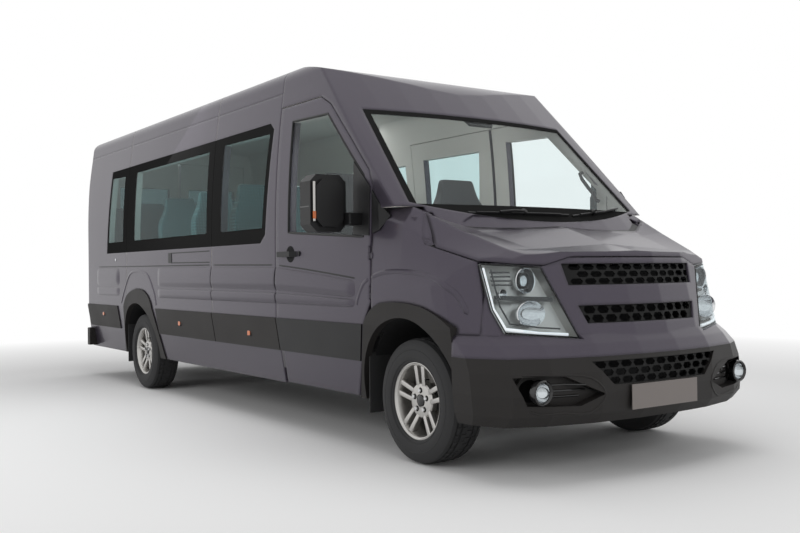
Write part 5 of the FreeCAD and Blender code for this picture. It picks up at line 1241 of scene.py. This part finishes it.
# Lamps by name: place, width and depth in metres, and power in watts
LAMPS = {
    "overhead_lamp": ((0.0, 0.0, 6.5), (9.0, 5.0), 230.0),
    "side_lamp": ((1.0, -7.5, 3.2), (8.0, 3.0), 150.0),
    "nose_lamp": ((8.5, 1.5, 2.8), (4.0, 3.0), 70.0),
    "far_lamp": ((-2.0, 7.5, 4.0), (8.0, 3.0), 80.0),
    "cabin_lamp": ((-0.8, 0.0, 2.28), (4.4, 0.9), 26.0),
    "cab_lamp": ((1.55, 0.0, 2.18), (0.7, 1.3), 9.0),
}
LAMP_AIM = Vector((0, 0, 1.0))
# Where the fitted camera stands and how it is turned, in metres and degrees
CAMERA_PLACE = Vector((6.80665, -4.04290, 1.08866))
CAMERA_YAW, CAMERA_PITCH, CAMERA_ROLL = 55.0497, -0.2731, -0.6079


def background_rays(tree):
    """A mask that is 1 for what the eye sees, directly, in a reflection or through glass."""
    path = add(tree, "ShaderNodeLightPath")
    seen = add(tree, "ShaderNodeMath", {0: path.outputs["Is Camera Ray"], 1: path.outputs["Is Glossy Ray"]},
               operation="MAXIMUM")
    return add(tree, "ShaderNodeMath", {0: seen, 1: path.outputs["Is Transmission Ray"]}, operation="MAXIMUM")


def lay_floor():
    """A pale matt floor that keeps the shadow and turns white with distance."""
    deselect()
    bpy.ops.mesh.primitive_plane_add(size=1, location=(0, 0, FLOOR_LEVEL))
    floor = bpy.context.object
    floor.scale = (FLOOR_WIDTH, FLOOR_WIDTH, 1)
    settle(floor, "studio_floor")
    material, tree, place = begin("pale_studio_floor")
    away = add(tree, "ShaderNodeVectorMath", {0: place}, operation="LENGTH").outputs["Value"]
    far = add(tree, "ShaderNodeMapRange", {"Value": away, "From Min": FLOOR_FADE_START, "From Max": FLOOR_FADE_END})
    share = add(tree, "ShaderNodeMath", {0: far, 1: background_rays(tree)}, operation="MULTIPLY")
    matt = add(tree, "ShaderNodeBsdfDiffuse", {"Color": linear("#f4f4f4")})
    white = add(tree, "ShaderNodeEmission", {"Color": linear("#ffffff"), "Strength": 1.0})
    finish_with(tree, add(tree, "ShaderNodeMixShader", {0: share, 1: matt, 2: white}))
    floor.data.materials.append(material)


def light_world():
    """A white surround to the eye that gives only a little light."""
    world = bpy.data.worlds.new("white_studio")
    world.use_nodes = True
    tree = world.node_tree
    tree.nodes.clear()
    lit = add(tree, "ShaderNodeBackground", {"Color": linear("#ffffff"), "Strength": WORLD_LIGHT})
    plain = add(tree, "ShaderNodeBackground", {"Color": linear("#ffffff"), "Strength": 1.0})
    blend = add(tree, "ShaderNodeMixShader", {0: background_rays(tree), 1: lit, 2: plain})
    add(tree, "ShaderNodeOutputWorld", {"Surface": blend})
    bpy.context.scene.world = world


def hang_lamps():
    """Soft lamps round the vehicle and two inside it, unseen themselves."""
    for name, (place, size, power) in LAMPS.items():
        light = bpy.data.lights.new(name, "AREA")
        light.shape = "RECTANGLE"
        light.size, light.size_y = size
        light.energy = power
        lamp = bpy.data.objects.new(name, light)
        lamp.location = place
        lamp.rotation_euler = (LAMP_AIM - Vector(place)).to_track_quat("-Z", "Y").to_euler()
        lamp.visible_glossy = lamp.visible_camera = False
        bpy.context.collection.objects.link(lamp)


def place_camera(sizes):
    """The camera at the photograph's place."""
    yaw, pitch, roll = (math.radians(angle) for angle in (CAMERA_YAW, CAMERA_PITCH, CAMERA_ROLL))
    ahead = Vector((-math.sin(yaw) * math.cos(pitch), math.cos(yaw) * math.cos(pitch), -math.sin(pitch)))
    right = Vector((math.cos(yaw), math.sin(yaw), 0))
    up = right.cross(ahead)
    across = math.cos(roll) * right + math.sin(roll) * up
    upright = -math.sin(roll) * right + math.cos(roll) * up
    lens = bpy.data.cameras.new("photo_camera")
    lens.sensor_width = 36.0
    lens.lens = sizes.focal
    camera = bpy.data.objects.new("photo_camera", lens)
    axes = zip(across, upright, -ahead, CAMERA_PLACE)
    camera.matrix_world = Matrix([*axes, (0, 0, 0, 1)])
    bpy.context.collection.objects.link(camera)
    bpy.context.scene.camera = camera
    bpy.context.scene.view_settings.view_transform = "Standard"


# Properties, operators and the panel


def colour_of(name, note, default):
    """A colour property with an sRGB hex default."""
    return bpy.props.FloatVectorProperty(name=name, description=note, subtype="COLOR", size=3, min=0.0, max=1.0,
                                         default=linear(default)[:3])


class MinibusColours(bpy.types.PropertyGroup):
    """Colours that a buyer would choose."""

    paint_base: colour_of("Paint base", "Darker tone of the metallic lacquer", "#312d36")
    paint_flake: colour_of("Paint flake", "Lighter tone of the metallic lacquer", "#56505c")
    cladding: colour_of("Cladding", "Grained lower mouldings and bumpers", "#1e1c1b")
    glass: colour_of("Cab glass", "What the windscreen and door glass let through", "#f9fcfc")
    side_glass: colour_of("Side glass", "What the passenger windows let through", "#dfecec")
    cloth: colour_of("Seat cloth", "Passenger seat cloth", "#38575a")
    plate: colour_of("Plate", "Blank number plate", "#77716e")


class MinibusSizes(bpy.types.PropertyGroup):
    """Sizes that a trimmer would change."""

    gasket: bpy.props.FloatProperty(name="Gasket", description="Radius of the window rubber", default=9 * MM,
                                    min=3 * MM, max=12 * MM, unit="LENGTH")
    arch_lip: bpy.props.FloatProperty(name="Arch lip", description="Radius of the painted arch lip", default=24 * MM,
                                      min=8 * MM, max=40 * MM, unit="LENGTH")
    # The belt line is a black bead painted as the shadow of the crease.
    belt: bpy.props.FloatProperty(name="Belt line", description="Radius of the belt line", default=7 * MM,
                                  min=3 * MM, max=9 * MM, unit="LENGTH")
    pad_width: bpy.props.FloatProperty(name="Seat width", description="Width of one passenger seat", default=0.426,
                                       min=0.36, max=0.43, unit="LENGTH")
    spoke_pairs: bpy.props.IntProperty(name="Spoke pairs", description="Pairs of spokes in each wheel", default=5,
                                       min=4, max=8)
    focal: bpy.props.FloatProperty(name="Lens", description="Camera lens in millimetres", default=41.858, min=20.0,
                                   max=120.0, unit="CAMERA")


class MINIBUS_OT_materials(bpy.types.Operator):
    """Makes every finish and puts it on the CAD pieces."""

    bl_idname = "minibus.materials"
    bl_label = "Materials"

    def execute(self, context):
        """Fills the table of finishes and clothes the CAD pieces."""
        FINISH.update(make_materials(context.scene.minibus_colours))
        clothe_nodes()
        return {"FINISHED"}


class MINIBUS_OT_wheels(bpy.types.Operator):
    """Tyres, rims, nuts and brake discs."""

    bl_idname = "minibus.wheels"
    bl_label = "Wheels"

    def execute(self, context):
        """Builds and dresses these pieces."""
        build_wheels(context.scene.minibus_sizes)
        return {"FINISHED"}


class MINIBUS_OT_side_lines(bpy.types.Operator):
    """Black beads as painted shadows of the belt crease and rail recess, arch lines, door window rubber and cab seam
    seal.
    """

    bl_idname = "minibus.side_lines"
    bl_label = "Side lines"

    def execute(self, context):
        """Builds and dresses these pieces."""
        build_side_lines(context.scene.minibus_sizes)
        return {"FINISHED"}


class MINIBUS_OT_side_plates(bpy.types.Operator):
    """Plates at the door glass, a plate painted as shade at the rail recess's end, handle dish, filler stud and key
    lock.
    """

    bl_idname = "minibus.side_plates"
    bl_label = "Side plates"

    def execute(self, context):
        """Builds and dresses these pieces."""
        build_side_plates()
        return {"FINISHED"}


class MINIBUS_OT_pressed_bands(bpy.types.Operator):
    """Bands pressed into the sides, and the tongues of the wings."""

    bl_idname = "minibus.pressed_bands"
    bl_label = "Pressed bands"

    def execute(self, context):
        """Builds and dresses these pieces."""
        build_pressed_bands()
        return {"FINISHED"}


class MINIBUS_OT_side_markers(bpy.types.Operator):
    """Amber marker lamps along both sides."""

    bl_idname = "minibus.side_markers"
    bl_label = "Side markers"

    def execute(self, context):
        """Builds and dresses these pieces."""
        build_side_markers()
        return {"FINISHED"}


class MINIBUS_OT_mud_flaps(bpy.types.Operator):
    """Rubber flaps behind the wheels."""

    bl_idname = "minibus.mud_flaps"
    bl_label = "Mud flaps"

    def execute(self, context):
        """Builds and dresses these pieces."""
        build_mud_flaps()
        return {"FINISHED"}


class MINIBUS_OT_mirrors(bpy.types.Operator):
    """Glasses, lamps, hood lines and feet of the mirrors."""

    bl_idname = "minibus.mirrors"
    bl_label = "Mirrors"

    def execute(self, context):
        """Builds and dresses these pieces."""
        build_mirrors()
        return {"FINISHED"}


class MINIBUS_OT_headlamps(bpy.types.Operator):
    """What is behind the headlamp lenses."""

    bl_idname = "minibus.headlamps"
    bl_label = "Headlamps"

    def execute(self, context):
        """Builds and dresses these pieces."""
        build_headlamps()
        return {"FINISHED"}


class MINIBUS_OT_fog_lamps(bpy.types.Operator):
    """Fog lamps with their fins and surrounds."""

    bl_idname = "minibus.fog_lamps"
    bl_label = "Fog lamps"

    def execute(self, context):
        """Builds and dresses these pieces."""
        build_fog_lamps()
        return {"FINISHED"}


class MINIBUS_OT_number_plate(bpy.types.Operator):
    """The blank front plate."""

    bl_idname = "minibus.number_plate"
    bl_label = "Number plate"

    def execute(self, context):
        """Builds and dresses these pieces."""
        build_number_plate()
        return {"FINISHED"}


class MINIBUS_OT_radiator(bpy.types.Operator):
    """Core, shroud and guards behind the grille's meshes."""

    bl_idname = "minibus.radiator"
    bl_label = "Radiator"

    def execute(self, context):
        """Builds and dresses these pieces."""
        build_radiator()
        return {"FINISHED"}


class MINIBUS_OT_wipers(bpy.types.Operator):
    """Windscreen wipers."""

    bl_idname = "minibus.wipers"
    bl_label = "Wipers"

    def execute(self, context):
        """Builds and dresses these pieces."""
        build_wipers()
        return {"FINISHED"}


class MINIBUS_OT_cab_fittings(bpy.types.Operator):
    """Sensor pod and grab handle behind the windscreen."""

    bl_idname = "minibus.cab_fittings"
    bl_label = "Cab fittings"

    def execute(self, context):
        """Builds and dresses these pieces."""
        build_cab_fittings()
        return {"FINISHED"}


class MINIBUS_OT_passenger_seats(bpy.types.Operator):
    """Stuffed seats and their grips in place of the plain ones."""

    bl_idname = "minibus.passenger_seats"
    bl_label = "Passenger seats"

    def execute(self, context):
        """Builds and dresses these pieces."""
        build_passenger_seats(context.scene.minibus_sizes)
        return {"FINISHED"}


class MINIBUS_OT_cab_seats(bpy.types.Operator):
    """Stuffed cab seats and their plinths in place of the plain ones."""

    bl_idname = "minibus.cab_seats"
    bl_label = "Cab seats"

    def execute(self, context):
        """Builds and dresses these pieces."""
        build_cab_seats()
        return {"FINISHED"}


class MINIBUS_OT_rear(bpy.types.Operator):
    """Rear door handle, window gaskets and high brake lamp."""

    bl_idname = "minibus.rear"
    bl_label = "Rear trim"

    def execute(self, context):
        """Builds and dresses these pieces."""
        build_rear(context.scene.minibus_sizes)
        return {"FINISHED"}


class MINIBUS_OT_stage(bpy.types.Operator):
    """Floor, surround, lamps and camera."""

    bl_idname = "minibus.stage"
    bl_label = "Studio"

    def execute(self, context):
        """Sets up the studio and the camera's view."""
        lay_floor()
        light_world()
        hang_lamps()
        place_camera(context.scene.minibus_sizes)
        return {"FINISHED"}


OPERATORS = (
    MINIBUS_OT_materials, MINIBUS_OT_wheels, MINIBUS_OT_side_lines, MINIBUS_OT_side_plates,
    MINIBUS_OT_pressed_bands, MINIBUS_OT_side_markers, MINIBUS_OT_mud_flaps, MINIBUS_OT_mirrors,
    MINIBUS_OT_headlamps, MINIBUS_OT_fog_lamps, MINIBUS_OT_number_plate, MINIBUS_OT_radiator, MINIBUS_OT_wipers,
    MINIBUS_OT_cab_fittings, MINIBUS_OT_passenger_seats, MINIBUS_OT_cab_seats, MINIBUS_OT_rear, MINIBUS_OT_stage,
)
STEPS = [operator.bl_idname.split(".")[1] for operator in OPERATORS]


class MINIBUS_PT_dressing(bpy.types.Panel):
    """The steps in order, with the sizes and colours they use."""

    bl_idname = "MINIBUS_PT_dressing"
    bl_label = "Minibus dressing"
    bl_space_type = "VIEW_3D"
    bl_region_type = "UI"
    bl_category = "Minibus"

    def draw(self, context):
        """Lists the properties, then the operators."""
        column = self.layout.column()
        for group in (context.scene.minibus_colours, context.scene.minibus_sizes):
            for name in group.__annotations__:
                column.prop(group, name)
        for operator in OPERATORS:
            column.operator(operator.bl_idname)


CLASSES = (MinibusColours, MinibusSizes, *OPERATORS, MINIBUS_PT_dressing)


def register():
    """Registers the classes and hangs the property groups on the scene."""
    for each in CLASSES:
        bpy.utils.register_class(each)
    bpy.types.Scene.minibus_colours = bpy.props.PointerProperty(type=MinibusColours)
    bpy.types.Scene.minibus_sizes = bpy.props.PointerProperty(type=MinibusSizes)


def unregister():
    """Takes the classes and property groups away."""
    del bpy.types.Scene.minibus_sizes
    del bpy.types.Scene.minibus_colours
    for each in reversed(CLASSES):
        bpy.utils.unregister_class(each)


def main():
    """Builds everything in order."""
    register()
    for step in STEPS:
        getattr(bpy.ops.minibus, step)()


if __name__ == "__main__":
    main()
